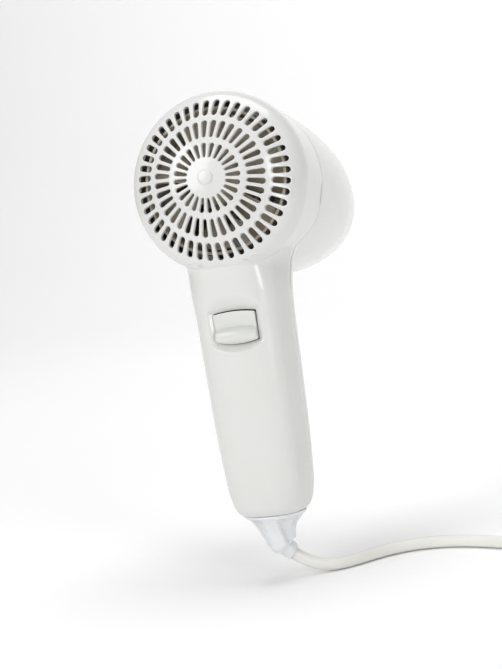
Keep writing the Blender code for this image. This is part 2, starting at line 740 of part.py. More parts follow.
def make_fan_duct(finish, parent):
    """The ring round the fan, the cup that holds the motor and the fixed vanes between them."""
    ring = [
        (DUCT_RADIUS, DUCT_REAR),
        (DUCT_RADIUS, DUCT_FRONT),
        (DUCT_RADIUS - DUCT_WALL, DUCT_FRONT),
        (DUCT_RADIUS - DUCT_WALL, DUCT_REAR),
    ]
    duct = add_object("fan_duct", turned(ring, 40), finish, parent)
    cup_inner = MOTOR_RADIUS + GAP
    cup = turned(
        [
            (cup_inner, MOTOR_REAR - 0.0012),
            (cup_inner + 0.0014, MOTOR_REAR - 0.0012),
            (cup_inner + 0.0014, MOTOR_FRONT - 0.0040),
            (cup_inner, MOTOR_FRONT - 0.0040),
        ],
        40,
    )
    vanes = []
    reach = DUCT_RADIUS - DUCT_WALL / 2
    root = cup_inner + 0.0007
    for i in range(STATOR_VANES):
        vane = box(
            (reach - root, 0.0013, 0.0170), ((reach + root) / 2, 0.0, MOTOR_REAR + 0.0100)
        )
        vanes.append(moved(vane, Matrix.Rotation(2 * math.pi * i / STATOR_VANES, 4, "Z")))
    for angle in DUCT_LUGS:
        lug = box((0.0062, 0.0040, 0.0080), (DUCT_RADIUS + 0.0024, 0.0, 0.0280))
        vanes.append(moved(lug, Matrix.Rotation(math.radians(angle), 4, "Z")))
    head = head_matrix()
    unite(duct, moved(gathered(vanes), head))
    unite(duct, moved(cup, head))
    return duct


def helix(name, start, finish, parent):
    """One heating element: resistance wire wound round the mica cross."""
    curve = bpy.data.curves.new(name, "CURVE")
    curve.dimensions = "3D"
    curve.bevel_depth = WIRE_RADIUS
    curve.bevel_resolution = 0
    curve.use_fill_caps = True
    steps = ELEMENT_TURNS * 14
    spline = curve.splines.new("POLY")
    spline.points.add(steps)
    for i in range(steps + 1):
        angle = 2.0 * math.pi * i / 14 + math.pi / 4
        height = start + ELEMENT_PITCH * i / 14
        place = (COIL_RADIUS * math.cos(angle), COIL_RADIUS * math.sin(angle), height, 1.0)
        spline.points[i].co = place
    curve.materials.append(finish)
    obj = bpy.data.objects.new(name, curve)
    bpy.context.scene.collection.objects.link(obj)
    obj.parent = parent
    return obj


def make_heater(mica, nichrome, steel, dark, parent):
    shield = [
        (SHIELD_RADIUS, HEATER_REAR),
        (SHIELD_RADIUS, HEATER_FRONT),
        (SHIELD_RADIUS - SHIELD_WALL, HEATER_FRONT),
        (SHIELD_RADIUS - SHIELD_WALL, HEATER_REAR),
    ]
    add_object("heat_shield", turned(shield, 40), mica, parent)
    length = HEATER_FRONT - HEATER_REAR
    middle = (HEATER_FRONT + HEATER_REAR) / 2
    width = 2 * MICA_HALF_WIDTH
    slot = MICA_THICKNESS + 2 * GAP
    head = head_matrix()
    for name, across, slot_middle in (
        ("mica_board_flat", True, middle + length / 4),
        ("mica_board_upright", False, middle - length / 4),
    ):
        size = (width, MICA_THICKNESS, length) if across else (MICA_THICKNESS, width, length)
        board = add_object(name, box(size, (0.0, 0.0, middle)), mica, parent)
        cut(board, moved(box((slot, slot, length / 2 + 2 * GAP), (0.0, 0.0, slot_middle)), head))
    helix("element_low", HEATER_REAR + 0.0040, nichrome, parent)
    helix("element_high", middle + 0.0035, nichrome, parent)
    rise = MICA_THICKNESS / 2 + GAP
    thermostat = box((0.0100, 0.0034, 0.0070), (0.0130, rise + 0.0017, middle - 0.012))
    add_object("thermostat", thermostat, steel, parent)
    fuse = cylinder(0.0017, (-0.018, rise + 0.0017, middle - 0.012), (-0.008, rise + 0.0017, middle - 0.012), 12)
    add_object("thermal_fuse", fuse, dark, parent)


def make_outlet_grille(finish, parent):
    low = OUTLET_GRILLE_Z
    high = low + OUTLET_GRILLE_DEPTH
    edge = OUTLET_RADIUS - WALL - LIP_STEP - GAP
    half = 0.0006
    rim = turned([(edge, low), (edge, high), (edge - 0.0016, high), (edge - 0.0016, low)], 36)
    grille = add_object("outlet_grille", rim, finish, parent)
    head = head_matrix()
    spokes = []
    for i in range(OUTLET_SPOKES):
        spoke = box((edge - 0.0018, 0.0014, OUTLET_GRILLE_DEPTH * 0.8), (edge / 2 + 0.0001, 0.0, (low + high) / 2))
        spokes.append(moved(spoke, Matrix.Rotation(2 * math.pi * i / OUTLET_SPOKES, 4, "Z")))
    disc = cylinder(0.0022, (0, 0, low + 0.0001), (0, 0, high - 0.0001), 16)
    unite(grille, moved(gathered(spokes + [disc]), head), crossing=True)
    rings = []
    for radius in OUTLET_GRILLE_RINGS:
        outline = [
            (radius + half, low + 0.0003),
            (radius + half, high - 0.0003),
            (radius - half, high - 0.0003),
            (radius - half, low + 0.0003),
        ]
        rings.append(turned(outline, 24))
    unite(grille, moved(gathered(rings), head))
    return grille


def smooth_route(points, spacing):
    """Evenly spaced points on one smooth curve through the given points (Catmull-Rom)."""
    route = [Vector(p) for p in points]
    route = [2 * route[0] - route[1]] + route + [2 * route[-1] - route[-2]]
    dense = []
    for a, b, c, d in zip(route, route[1:], route[2:], route[3:]):
        for i in range(24):
            t = i / 24
            dense.append(
                0.5 * (2 * b + (c - a) * t + (2 * a - 5 * b + 4 * c - d) * t * t + (3 * b - a - 3 * c + d) * t**3)
            )
    dense.append(route[-2])
    length = sum((q - p).length for p, q in zip(dense, dense[1:]))
    steps = max(2, round(length / spacing))
    kept = [dense[0]]
    walked = 0.0
    for p, q in zip(dense, dense[1:]):
        walked += (q - p).length
        if walked >= length * len(kept) / steps and len(kept) < steps:
            kept.append(q)
    kept.append(dense[-1])
    return kept, length


def tube(name, points, radius, finish, spacing, sides=2):
    curve = bpy.data.curves.new(name, "CURVE")
    curve.dimensions = "3D"
    curve.bevel_depth = radius
    curve.bevel_resolution = sides
    curve.use_fill_caps = True
    kept, length = smooth_route(points, spacing)
    spline = curve.splines.new("POLY")
    spline.points.add(len(kept) - 1)
    for point, place in zip(spline.points, kept):
        point.co = (*place, 1.0)
    curve.materials.append(finish)
    obj = bpy.data.objects.new(name, curve)
    bpy.context.scene.collection.objects.link(obj)
    print(f"{name}: {length:.4f} m long, {len(kept)} points")
    return obj


def make_lead(finish, brass):
    start = CORD_EXIT + CORD_DIRECTION * (GAP + 0.0001)
    tube("cord", (start, *CORD_ROUTE[1:]), CORD_RADIUS, finish, CORD_POINT_SPACING)
    coil = [
        (COIL_OUTER, 0.0),
        (COIL_OUTER, COIL_HEIGHT),
        (COIL_INNER, COIL_HEIGHT),
        (COIL_INNER, 0.0),
    ]
    add_object("cord_coil", turned(coil, 40), finish).location = COIL_CENTRE
    top = COIL_CENTRE + Vector((0.0, -(COIL_INNER + COIL_OUTER) / 2, COIL_HEIGHT + GAP + PLUG_HEIGHT / 2))
    body = loft(
        [
            [
                (x, y * (PLUG_WIDTH / 2) * scale, z * (PLUG_HEIGHT / 2) * scale)
                for y, z in ((-1, -0.7), (-0.8, -1), (0.8, -1), (1, -0.7), (1, 0.7), (0.8, 1), (-0.8, 1), (-1, 0.7))
            ]
            for x, scale in ((-PLUG_LENGTH / 2, 0.55), (-PLUG_LENGTH / 6, 0.92), (PLUG_LENGTH / 2, 1.0))
        ]
    )
    add_object("plug_body", body, finish).location = top
    for side, name in ((-1, "plug_blade_left"), (1, "plug_blade_right")):
        start = PLUG_LENGTH / 2 + GAP
        blade = box((BLADE_LENGTH, 0.0015, 0.0063), (start + BLADE_LENGTH / 2, side * 0.00635, 0.0))
        add_object(name, blade, brass).location = top


def make_inner_wiring(brown, blue, red, sheath, clamp_finish, steel):
    """The lead inside the handle, its clamp, and the wires that run up to the barrel."""
    head = head_matrix()
    split = -0.0452
    tube("cord_inside", ((0, 0, -0.0561), (0, 0, -0.0510), (0, 0, split)), CORD_RADIUS, sheath, 0.006, 1)
    bar = box((0.0200, 0.0030, 0.0070), (0.0, CORD_RADIUS + GAP + 0.0015, -0.0510))
    add_object("cord_clamp", bar, clamp_finish)
    for side, name in ((-1, "clamp_screw_left"), (1, "clamp_screw_right")):
        start = Vector((side * 0.0072, CORD_RADIUS + 2 * GAP + 0.0030, -0.0510))
        add_object(name, cylinder(0.0022, start, start + Vector((0.0, 0.0018, 0.0)), 12), steel)
    tab_y = -0.0022
    under_tab = SWITCH_HEIGHT - 0.0004 - GAP
    over_tab = SWITCH_HEIGHT + 0.0004 + GAP
    core_live = (
        (-0.0014, 0.0, split + 2 * GAP),
        (-0.0015, 0.0, split + 0.0025),
        (-0.0064, 0.0, -0.0375),
        (-0.0088, -0.0008, -0.0290),
        (-0.0095, -0.0015, -0.0050),
        (-0.0085, tab_y, 0.0200),
        (-0.0080, tab_y, under_tab),
    )
    tube("core_live", core_live, CORE_RADIUS, brown, 0.007, 1)
    core_neutral = (
        (0.0014, 0.0, split + 2 * GAP),
        (0.0015, 0.0, split + 0.0025),
        (0.0064, 0.0, -0.0375),
        (0.0088, -0.0008, -0.0290),
        (0.0095, -0.0015, -0.0050),
        (0.0150, 0.0, 0.0150),
        (0.0160, 0.0, 0.0400),
        (0.0165, -0.0060, 0.0580),
        head @ Vector((0.0170, 0.0365, 0.0170)),
        head @ Vector((0.0174, 0.0347, 0.0200)),
        head @ Vector((0.0175, 0.0347, 0.0300)),
        head @ Vector((0.0175, 0.0347, 0.0590)),
        head @ Vector((0.0182, 0.0325, 0.0640)),
        head @ Vector((0.0192, 0.0250, 0.0652)),
        head @ Vector((0.0200, 0.0100, 0.0652)),
        head @ Vector((0.0200, 0.0030, 0.0652)),
    )
    tube("core_neutral", core_neutral, CORE_RADIUS, blue, 0.007, 1)
    for name, x, tab_x, end_x in (("wire_low", 0.0020, 0.0, -0.0150), ("wire_high", 0.0095, 0.0080, 0.0145)):
        down = math.sqrt(WIRE_LANE**2 - x**2)
        route = (
            (tab_x, tab_y, over_tab),
            (tab_x, tab_y, 0.0450),
            (x, 0.0, 0.0560),
            head @ Vector((x, down, 0.0200)),
            head @ Vector((x, down, 0.0300)),
            head @ Vector((x, down, 0.0590)),
            head @ Vector((x, down - 0.0025, 0.0640)),
            head @ Vector((x, 0.0270, 0.0652)),
            head @ Vector((end_x, 0.0120, 0.0652)),
            head @ Vector((end_x, 0.0030, 0.0652)),
        )
        tube(name, route, CORE_RADIUS, red, 0.007, 1)


def build():
    clear_scene()
    head_axis = bpy.data.objects.new("head_axis", None)
    bpy.context.scene.collection.objects.link(head_axis)
    head_axis.location = FAN_CENTRE
    head_axis.rotation_euler = (-math.pi / 2 - NOSE_PITCH, 0.0, 0.0)
    bpy.context.view_layer.update()

    white = material("housing_white", (0.84, 0.83, 0.80), 0.22)
    relief = material("relief_white", (0.80, 0.81, 0.80), 0.35)
    sheath = material("lead_white", (0.78, 0.77, 0.73), 0.45)
    taupe = material("fan_taupe", (0.33, 0.29, 0.23), 0.40)
    black = material("black_plastic", (0.02, 0.02, 0.02), 0.40)
    steel = material("steel", (0.60, 0.60, 0.60), 0.30, 1.0)
    brass = material("brass", (0.75, 0.60, 0.30), 0.30, 1.0)
    copper = material("copper", (0.70, 0.40, 0.25), 0.35, 1.0)
    magnet = material("ferrite", (0.06, 0.06, 0.06), 0.60)
    board = material("board", (0.45, 0.33, 0.15), 0.50)
    mica = material("mica", (0.55, 0.48, 0.36), 0.45)
    nichrome = material("nichrome", (0.45, 0.42, 0.40), 0.35, 1.0)
    brown = material("wire_brown", (0.15, 0.06, 0.03), 0.45)
    blue = material("wire_blue", (0.03, 0.12, 0.50), 0.45)
    red = material("wire_red", (0.50, 0.04, 0.03), 0.45)

    make_rear_housing(white)
    make_front_housing(white)
    make_strain_relief(relief)
    make_rocker(white, steel)
    make_switch_body(black, brass)
    make_screws(steel)
    make_fan_duct(black, head_axis)
    make_fan(taupe, head_axis)
    make_motor((steel, black, copper, magnet, board), head_axis)
    make_heater(mica, nichrome, steel, black, head_axis)
    make_outlet_grille(black, head_axis)
    make_lead(sheath, brass)
    make_inner_wiring(brown, blue, red, sheath, black, steel)


build()
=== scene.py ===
# %% [markdown]
# # A hand-held hair dryer, finished for a picture
# The dryer's solids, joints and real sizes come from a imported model, which is loaded first and never
# moved. Everything below is built around it, in metres: +Z up, +Y the way the air blows. Pieces whose
# shape shows closely are made again here with a finer surface; the others keep their solid and only get
# a finish.

# %% Load the frame
import json
import math

import bmesh
import bpy
import numpy as np
from mathutils import Matrix, Vector


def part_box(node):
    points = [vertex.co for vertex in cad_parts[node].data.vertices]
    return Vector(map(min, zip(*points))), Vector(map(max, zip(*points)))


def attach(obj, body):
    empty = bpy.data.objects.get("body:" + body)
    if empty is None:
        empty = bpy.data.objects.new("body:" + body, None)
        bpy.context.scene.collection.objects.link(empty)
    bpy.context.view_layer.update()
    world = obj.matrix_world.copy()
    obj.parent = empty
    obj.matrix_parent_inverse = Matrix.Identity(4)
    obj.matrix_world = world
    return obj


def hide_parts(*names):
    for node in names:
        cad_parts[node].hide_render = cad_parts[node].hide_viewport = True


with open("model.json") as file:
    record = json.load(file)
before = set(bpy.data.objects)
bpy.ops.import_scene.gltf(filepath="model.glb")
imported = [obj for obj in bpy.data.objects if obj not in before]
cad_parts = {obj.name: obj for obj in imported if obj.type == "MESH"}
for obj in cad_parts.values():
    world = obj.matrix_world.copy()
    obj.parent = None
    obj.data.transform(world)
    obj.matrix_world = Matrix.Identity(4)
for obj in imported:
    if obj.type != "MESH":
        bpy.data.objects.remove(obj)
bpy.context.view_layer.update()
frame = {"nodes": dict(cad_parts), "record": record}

# %% [markdown]
# ## Where things are
# The fan's joint gives the barrel's axis and the rocker's joint gives the switch's pivot, so neither is
# typed in again. Head pieces are modelled about their own Z, which points out of the nose, and
# `head` carries them into place.

# %% Places read from the frame
joints = {joint["name"]: joint for joint in frame["record"]["behaviour"]["joints"]}
FAN_CENTRE = Vector(joints["fan_spin"]["pos_m"])
NOSE = Vector(joints["fan_spin"]["axis"]).normalized()
PIVOT = Vector(joints["rocker_tilt"]["pos_m"])
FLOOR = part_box("cord_coil")[0].z
SWITCH_HEIGHT = PIVOT.z

nose_pitch = math.asin(-NOSE.z)
head = Matrix.Translation(FAN_CENTRE) @ Matrix.Rotation(-math.pi / 2 - nose_pitch, 4, "X")
print(f"nose pitch {math.degrees(nose_pitch):.1f} degrees, floor at {FLOOR:.4f}")

# %% [markdown]
# ## The camera
# A product picture of this kind is taken from behind and a little to the right, level with the barrel,
# with the dryer leaning in the frame. The camera sits on a line from the fan's centre. It is turned,
# not shifted, until that centre lies up and left of the middle, and rolled so that the handle leans.
# The offset is a share of the picture's height, so it holds at any resolution.

# %% Camera
AZIMUTH = math.radians(18.8)
ELEVATION = math.radians(0.9)
ROLL = math.radians(-8.6)
DISTANCE = 0.930
LENS = 101.7
SENSOR = 36.0
FRAME_OFFSET = (-0.0583, 0.2317)

back = Vector(
    (
        math.sin(AZIMUTH) * math.cos(ELEVATION),
        -math.cos(AZIMUTH) * math.cos(ELEVATION),
        math.sin(ELEVATION),
    )
)
level = Vector((math.cos(AZIMUTH), math.sin(AZIMUTH), 0.0))
upright = back.cross(level)
aimed = Matrix((level, upright, back)).transposed() @ Matrix.Rotation(ROLL, 3, "Z")
sight = Vector((*FRAME_OFFSET, -LENS / SENSOR)).normalized()
swing = Vector((0.0, 0.0, -1.0)).rotation_difference(sight).to_matrix()

camera_data = bpy.data.cameras.new("camera")
camera_data.lens = LENS
camera_data.sensor_width = SENSOR
camera_data.clip_start = 0.01
camera = bpy.data.objects.new("camera", camera_data)
camera.matrix_world = Matrix.Translation(FAN_CENTRE + DISTANCE * back) @ (aimed @ swing.transposed()).to_4x4()
bpy.context.scene.collection.objects.link(camera)
bpy.context.scene.camera = camera
print("camera at", [round(v, 3) for v in camera.location])

# %% [markdown]
# ## Small helpers for meshes
# Most pieces here are either turned (a profile swept round an axis) or skinned (sections joined one to
# the next), so two helpers make those, and one more turns the result into a piece that rides on its
# body. Smooth shading with a sharp-edge angle keeps rounds soft and real corners crisp.

# %% Mesh helpers
HOUSING = "housing"
ROTOR = "rotor"
ROCKER = "rocker"


def add_piece(name, bm, body=HOUSING, sharp_degrees=40.0):
    """Makes a named piece from a bmesh that is in place already, and lets it ride on a body."""
    bmesh.ops.recalc_face_normals(bm, faces=bm.faces)
    mesh = bpy.data.meshes.new(name)
    bm.to_mesh(mesh)
    bm.free()
    mesh.shade_smooth()
    mesh.set_sharp_from_angle(angle=math.radians(sharp_degrees))
    piece = bpy.data.objects.new(name, mesh)
    bpy.context.scene.collection.objects.link(piece)
    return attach(piece, body)


def turned(outline, segments):
    """A ring of (radius, height) points swept once round Z. The outline closes on itself."""
    bm = bmesh.new()
    rows = []
    for radius, height in outline:
        angles = [2 * math.pi * i / segments for i in range(segments)]
        rows.append([bm.verts.new((radius * math.cos(a), radius * math.sin(a), height)) for a in angles])
    for low, high in zip(rows, rows[1:] + rows[:1]):
        for i in range(segments):
            j = (i + 1) % segments
            bm.faces.new((low[i], low[j], high[j], high[i]))
    bmesh.ops.remove_doubles(bm, verts=bm.verts, dist=1e-7)
    return bm


def skinned(sections, capped=True):
    """Closed sections of equal point count, joined one to the next."""
    bm = bmesh.new()
    loops = [[bm.verts.new(p) for p in section] for section in sections]
    for low, high in zip(loops, loops[1:]):
        for i in range(len(low)):
            j = (i + 1) % len(low)
            bm.faces.new((low[i], low[j], high[j], high[i]))
    if capped:
        bm.faces.new(loops[0])
        bm.faces.new(loops[-1])
    return bm


def moved(bm, matrix):
    bmesh.ops.transform(bm, matrix=matrix, verts=bm.verts)
    return bm


def gathered(parts):
    """Several bmeshes as one."""
    whole = bmesh.new()
    for part in parts:
        spare = bpy.data.meshes.new("spare")
        part.to_mesh(spare)
        part.free()
        whole.from_mesh(spare)
        bpy.data.meshes.remove(spare)
    return whole


def rounded_box(size, radius, segments=3):
    """A block with every edge rounded."""
    bm = bmesh.new()
    bmesh.ops.create_cube(bm, size=1.0)
    bmesh.ops.scale(bm, vec=size, verts=bm.verts)
    bmesh.ops.bevel(bm, geom=bm.edges[:], offset=radius, segments=segments, affect="EDGES", profile=0.5)
    return bm


def arc(centre, radius, start, end, steps):
    """Points of a circle about centre, with angles in degrees from the first axis."""
    angles = [math.radians(start + (end - start) * i / steps) for i in range(steps + 1)]
    return [(centre[0] + radius * math.cos(a), centre[1] + radius * math.sin(a)) for a in angles]


def ease(value):
    """Smooth step of a number or array from 0 to 1."""
    held = np.clip(value, 0.0, 1.0)
    return held * held * (3 - 2 * held)


# %% [markdown]
# ## The mains lead
# The lead of such a dryer is a round two-core flex, here 6.4 mm thick and 1.8 m long. It leaves the
# strain relief leaning to the right, drops to the surface, and the length that isn't needed is wound
# into a neat coil with the plug on top. A curve with a round bevel follows the route exactly, and the
# turns of the coil are worked out by a loop: three turns inward on the surface, then outward on top of
# them, then in again, each turn one diameter from the next.

# %% The lead's route
CORD_RADIUS = 0.0032
CORD_LENGTH = 1.8
CORD_ROUTE = (
    (0.0062, 0.0010, -0.0868),
    (0.0098, 0.0020, -0.0898),
    (0.0148, 0.0036, -0.0930),
    (0.0208, 0.0062, -0.0953),
    (0.0276, 0.0103, -0.0963),
    (0.0345, 0.0168, -0.0963),
    (0.0412, 0.0252, -0.0963),
    (0.0500, 0.0337, -0.0963),
    (0.0620, 0.0395, -0.0963),
    (0.0770, 0.0403, -0.0963),
    (0.0935, 0.0357, -0.0963),
    (0.1120, 0.0265, -0.0963),
    (0.1330, 0.0158, -0.0963),
    (0.1570, 0.0065, -0.0963),
    (0.1830, 0.0018, -0.0963),
    (0.2080, 0.0007, -0.0963),
    (0.2250, 0.0010, -0.0963),
)
STEPS_A_TURN = 48
TURN_SPACING = 0.0065
plug_low, plug_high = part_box("plug_body")
plug_centre = (plug_low + plug_high) / 2
coil_low, coil_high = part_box("cord_coil")
coil_centre = (coil_low + coil_high) / 2


def smooth_route(points, per_span=8):
    """Points on one smooth curve through the given points (Catmull-Rom)."""
    route = [Vector(p) for p in points]
    route = [2 * route[0] - route[1]] + route + [2 * route[-1] - route[-2]]
    made = []
    for a, b, c, d in zip(route, route[1:], route[2:], route[3:]):
        for i in range(per_span):
            t = i / per_span
            cubic = (2 * a - 5 * b + 4 * c - d) * t * t + (3 * b - a - 3 * c + d) * t**3
            made.append(0.5 * (2 * b + (c - a) * t + cubic))
    made.append(route[-2])
    return made


def coil_points(outer):
    """The wound length, as (turns, radius, height) stations joined smoothly. Turn 0 is at the front."""
    inner = outer - 3 * TURN_SPACING
    top = outer - 2.4 * TURN_SPACING
    first, second, third = (CORD_RADIUS + k * (2 * CORD_RADIUS + 0.0002) for k in range(3))
    entry = coil_centre.y - CORD_ROUTE[-1][1]
    plug_height = plug_centre.z - FLOOR
    lie = (plug_low.x - coil_centre.x, plug_centre.y - coil_centre.y)
    end_turn = 6.0 + 1.0 + (math.atan2(lie[1], lie[0]) + math.pi / 2) / (2 * math.pi)
    stations = [
        (0.0, entry, first),
        (0.25, outer - 0.25 * TURN_SPACING, first),
        (3.0, inner, first),
        (3.25, inner, second),
        (5.65, inner + 2.4 * TURN_SPACING, second),
        (5.90, inner + 2.4 * TURN_SPACING, third),
        (end_turn - 0.25, top + 0.0010, third + 0.0006),
        (end_turn - 0.04, math.hypot(*lie) + 0.0006, plug_height - 0.0006),
        (end_turn, math.hypot(*lie), plug_height),
    ]
    points = []
    for (t0, r0, z0), (t1, r1, z1) in zip(stations, stations[1:]):
        steps = max(2, round((t1 - t0) * STEPS_A_TURN))
        for i in range(1, steps + 1):
            share = i / steps
            turn = (t0 + (t1 - t0) * share) * 2 * math.pi - math.pi / 2
            radius = r0 + (r1 - r0) * share
            height = z0 + (z1 - z0) * float(ease(share))
            points.append(coil_centre + Vector((radius * math.cos(turn), radius * math.sin(turn), 0.0)))
            points[-1].z = FLOOR + height
    return points


def length_of(points):
    return sum((b - a).length for a, b in zip(points, points[1:]))


laid = smooth_route(CORD_ROUTE)
low_radius = 0.040
high_radius = 0.052
for _ in range(30):
    outer_turn = (low_radius + high_radius) / 2
    lead_line = laid + coil_points(outer_turn)
    if length_of(lead_line) < CORD_LENGTH:
        low_radius = outer_turn
    else:
        high_radius = outer_turn
print(f"lead {length_of(lead_line):.4f} m, outer turn {outer_turn:.4f} m, {len(lead_line)} points")

# %% [markdown]
# A round bevel on a poly curve gives the sheath. The curve's own line is the centreline, which is what
# the lead is measured by.

# %% The sheath
lead_curve = bpy.data.curves.new("lead", "CURVE")
lead_curve.dimensions = "3D"
lead_curve.bevel_depth = 1.0
lead_curve.bevel_resolution = 5
lead_curve.use_fill_caps = True
spline = lead_curve.splines.new("POLY")
spline.points.add(len(lead_line) - 1)
for point, place in zip(spline.points, lead_line):
    point.co = (*place, 1.0)
    point.radius = CORD_RADIUS
spline.use_smooth = True
lead = bpy.data.objects.new("lead", lead_curve)
bpy.context.scene.collection.objects.link(lead)
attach(lead, HOUSING)
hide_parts("cord", "cord_coil")

# %% [markdown]
# A coil is kept together by a tie. A flat strap with a little thickness is skinned round the bundle's
# section where the turns lie side by side, and its end is twisted over once, as a plastic-coated wire
# tie is.

# %% The tie
TIE_WIDTH = 0.0032
TIE_THICKNESS = 0.0009
tie_inner = outer_turn - 3 * TURN_SPACING - CORD_RADIUS
tie_outer = outer_turn + CORD_RADIUS
tie_low = 0.0012
tie_high = coil_high.z - FLOOR + 0.0003
TIE_ANGLE = math.radians(70.0)


def tie_loop(grow):
    """The strap's line round the bundle: a rounded oblong, in (radius, height)."""
    corner = 0.0032
    low, high = tie_low - grow, tie_high + grow
    near, far = tie_inner - grow, tie_outer + grow
    line = arc((far - corner, high - corner), corner, 0, 90, 6)
    line += arc((near + corner, high - corner), corner, 90, 180, 6)
    line += arc((near + corner, low + corner), corner, 180, 270, 6)
    line += arc((far - corner, low + corner), corner, 270, 360, 6)
    return line


def make_tie():
    bm = bmesh.new()
    rows = []
    for grow, half in ((0.0, -1), (0.0, 1), (TIE_THICKNESS, 1), (TIE_THICKNESS, -1)):
        across = half * TIE_WIDTH / 2
        rows.append([bm.verts.new((r, across, h)) for r, h in tie_loop(grow)])
    for first, second in zip(rows, rows[1:] + rows[:1]):
        for i in range(len(first)):
            j = (i + 1) % len(first)
            bm.faces.new((first[i], first[j], second[j], second[i]))
    twist = []
    for i in range(25):
        along = i / 24
        turn = along * 3.5 * math.pi
        across = Vector((0.0, math.cos(turn), math.sin(turn))) * TIE_WIDTH * 0.30
        centre = Vector((tie_outer + TIE_THICKNESS + 0.012 * along - 0.0008, 0.0, tie_high * 0.55))
        thick = Vector((0.0, -math.sin(turn), math.cos(turn))) * TIE_THICKNESS * 0.5
        right, left = centre + across, centre - across
        twist.append([right + thick, right - thick, left - thick, left + thick])
    place = Matrix.Translation((coil_centre.x, coil_centre.y, FLOOR)) @ Matrix.Rotation(TIE_ANGLE, 4, "Z")
    tie = add_piece("coil_tie", moved(gathered([bm, skinned(twist)]), place), sharp_degrees=50)
    return tie


tie = make_tie()
print("tie round a bundle", round(tie_outer - tie_inner, 4), "m wide")

# %% [markdown]
# The plug is a moulded two-pin body: a rounded block that narrows to the lead, with finger ridges on
# both flanks and a ribbed sleeve. Superellipse sections joined along its length give the soft block, and
# the ridges are short bumps in the section's width.

# %% The plug
PLUG_STATIONS = (
    # share of the length from the lead to the face, half width, half height
    (0.00, 0.0050, 0.0046),
    (0.08, 0.0054, 0.0048),
    (0.22, 0.0074, 0.0053),
    (0.42, 0.0098, 0.0060),
    (0.62, 0.0106, 0.0063),
    (0.90, 0.0109, 0.0065),
    (0.97, 0.0107, 0.0063),
    (1.00, 0.0101, 0.0057),
)


def superellipse(half_x, half_y, power, steps):
    points = []
    for i in range(steps):
        angle = 2 * math.pi * i / steps
        c, s = math.cos(angle), math.sin(angle)
        x = half_x * math.copysign(abs(c) ** (2 / power), c)
        y = half_y * math.copysign(abs(s) ** (2 / power), s)
        points.append((x, y))
    return points


def make_plug():
    length = plug_high.x - plug_low.x
    shares = np.linspace(0.0, 1.0, 60)
    table = np.array(PLUG_STATIONS)
    sections = []
    for share in shares:
        half_width = float(np.interp(share, table[:, 0], table[:, 1]))
        half_height = float(np.interp(share, table[:, 0], table[:, 2]))
        grip = 0.00045 * float(ease((share - 0.45) * 8) * ease((0.86 - share) * 8))
        half_width -= grip * (1 + math.cos(share * 2 * math.pi * 14)) / 2
        x = plug_low.x + length * share
        section = superellipse(half_width, half_height, 3.2, 48)
        sections.append([(x, plug_centre.y + across, plug_centre.z + up) for across, up in section])
    plug = add_piece("plug_shell", skinned(sections), sharp_degrees=55)
    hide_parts("plug_body")
    sleeve = []
    for i in range(31):
        share = i / 30
        rib = 0.0003 * math.cos(share * 2 * math.pi * 5)
        radius = CORD_RADIUS + 0.0006 + 0.0008 * share + rib
        turn = [2 * math.pi * k / 24 for k in range(24)]
        x = plug_low.x - 0.0105 * (1 - share) + 0.0004
        sleeve.append(
            [(x, plug_centre.y + radius * math.cos(a), plug_centre.z + radius * math.sin(a)) for a in turn]
        )
    collar = add_piece("plug_sleeve", skinned(sleeve), sharp_degrees=60)
    return plug, collar


plug, plug_sleeve = make_plug()
plug_pieces = [plug, plug_sleeve]
for node in ("plug_blade_left", "plug_blade_right"):
    low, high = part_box(node)
    blade_shape = rounded_box(high - low, 0.0004, 2)
    placed = moved(blade_shape, Matrix.Translation((low + high) / 2))
    blade = add_piece(node.replace("plug_blade", "plug_pin"), placed)
    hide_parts(node)
    plug_pieces.append(blade)

# %% [markdown]
# ## Effects that several finishes share
# Moulded plastic is never one flat colour: it has a faint mottle from the melt, a very fine texture from
# the tool, thin dust where it faces up, and paler or duller edges where hands rub. Each of these is a
# shader node group with named inputs and outputs, built once. A group gives out only values; the
# shader itself stays in each material.

# %% Node helpers
def new_group(name, inputs, outputs):
    """An empty node group with float or vector inputs and float outputs."""
    group = bpy.data.node_groups.new(name, "ShaderNodeTree")
    for label, default in inputs:
        kind = "NodeSocketVector" if default is None else "NodeSocketFloat"
        socket = group.interface.new_socket(name=label, in_out="INPUT", socket_type=kind)
        if default is not None:
            socket.default_value = default
    for label in outputs:
        group.interface.new_socket(name=label, in_out="OUTPUT", socket_type="NodeSocketFloat")
    return group, group.nodes.new("NodeGroupInput"), group.nodes.new("NodeGroupOutput")


def math_node(tree, operation, first, second=None, clamp=False):
    """A Math node whose inputs are numbers or sockets. It returns its output."""
    node = tree.nodes.new("ShaderNodeMath")
    node.operation = operation
    node.use_clamp = clamp
    for socket, value in zip(node.inputs, (first, second)):
        if value is None:
            continue
        if isinstance(value, (int, float)):
            socket.default_value = value
        else:
            tree.links.new(value, socket)
    return node.outputs[0]


def noise_node(tree, vector, scale, detail=3.0, roughness=0.5):
    node = tree.nodes.new("ShaderNodeTexNoise")
    node.inputs["Detail"].default_value = detail
    node.inputs["Roughness"].default_value = roughness
    tree.links.new(vector, node.inputs["Vector"])
    if isinstance(scale, (int, float)):
        node.inputs["Scale"].default_value = scale
    else:
        tree.links.new(scale, node.inputs["Scale"])
    return node.outputs[0]


# %% [markdown]
# Moulding: a slow mottle for tone and gloss, and a fine height for the tool's texture. `Scale` is in
# cycles per metre, because object coordinates are metres.

# %% Group: moulding
def make_moulding_group():
    group, given, out = new_group(
        "moulding", (("Vector", None), ("Scale", 60.0), ("Texture Scale", 2500.0)), ("Mottle", "Height")
    )
    slow = noise_node(group, given.outputs["Vector"], given.outputs["Scale"], 4.0, 0.55)
    fine = noise_node(group, given.outputs["Vector"], given.outputs["Texture Scale"], 2.0, 0.6)
    group.links.new(slow, out.inputs["Mottle"])
    group.links.new(fine, out.inputs["Height"])
    return group


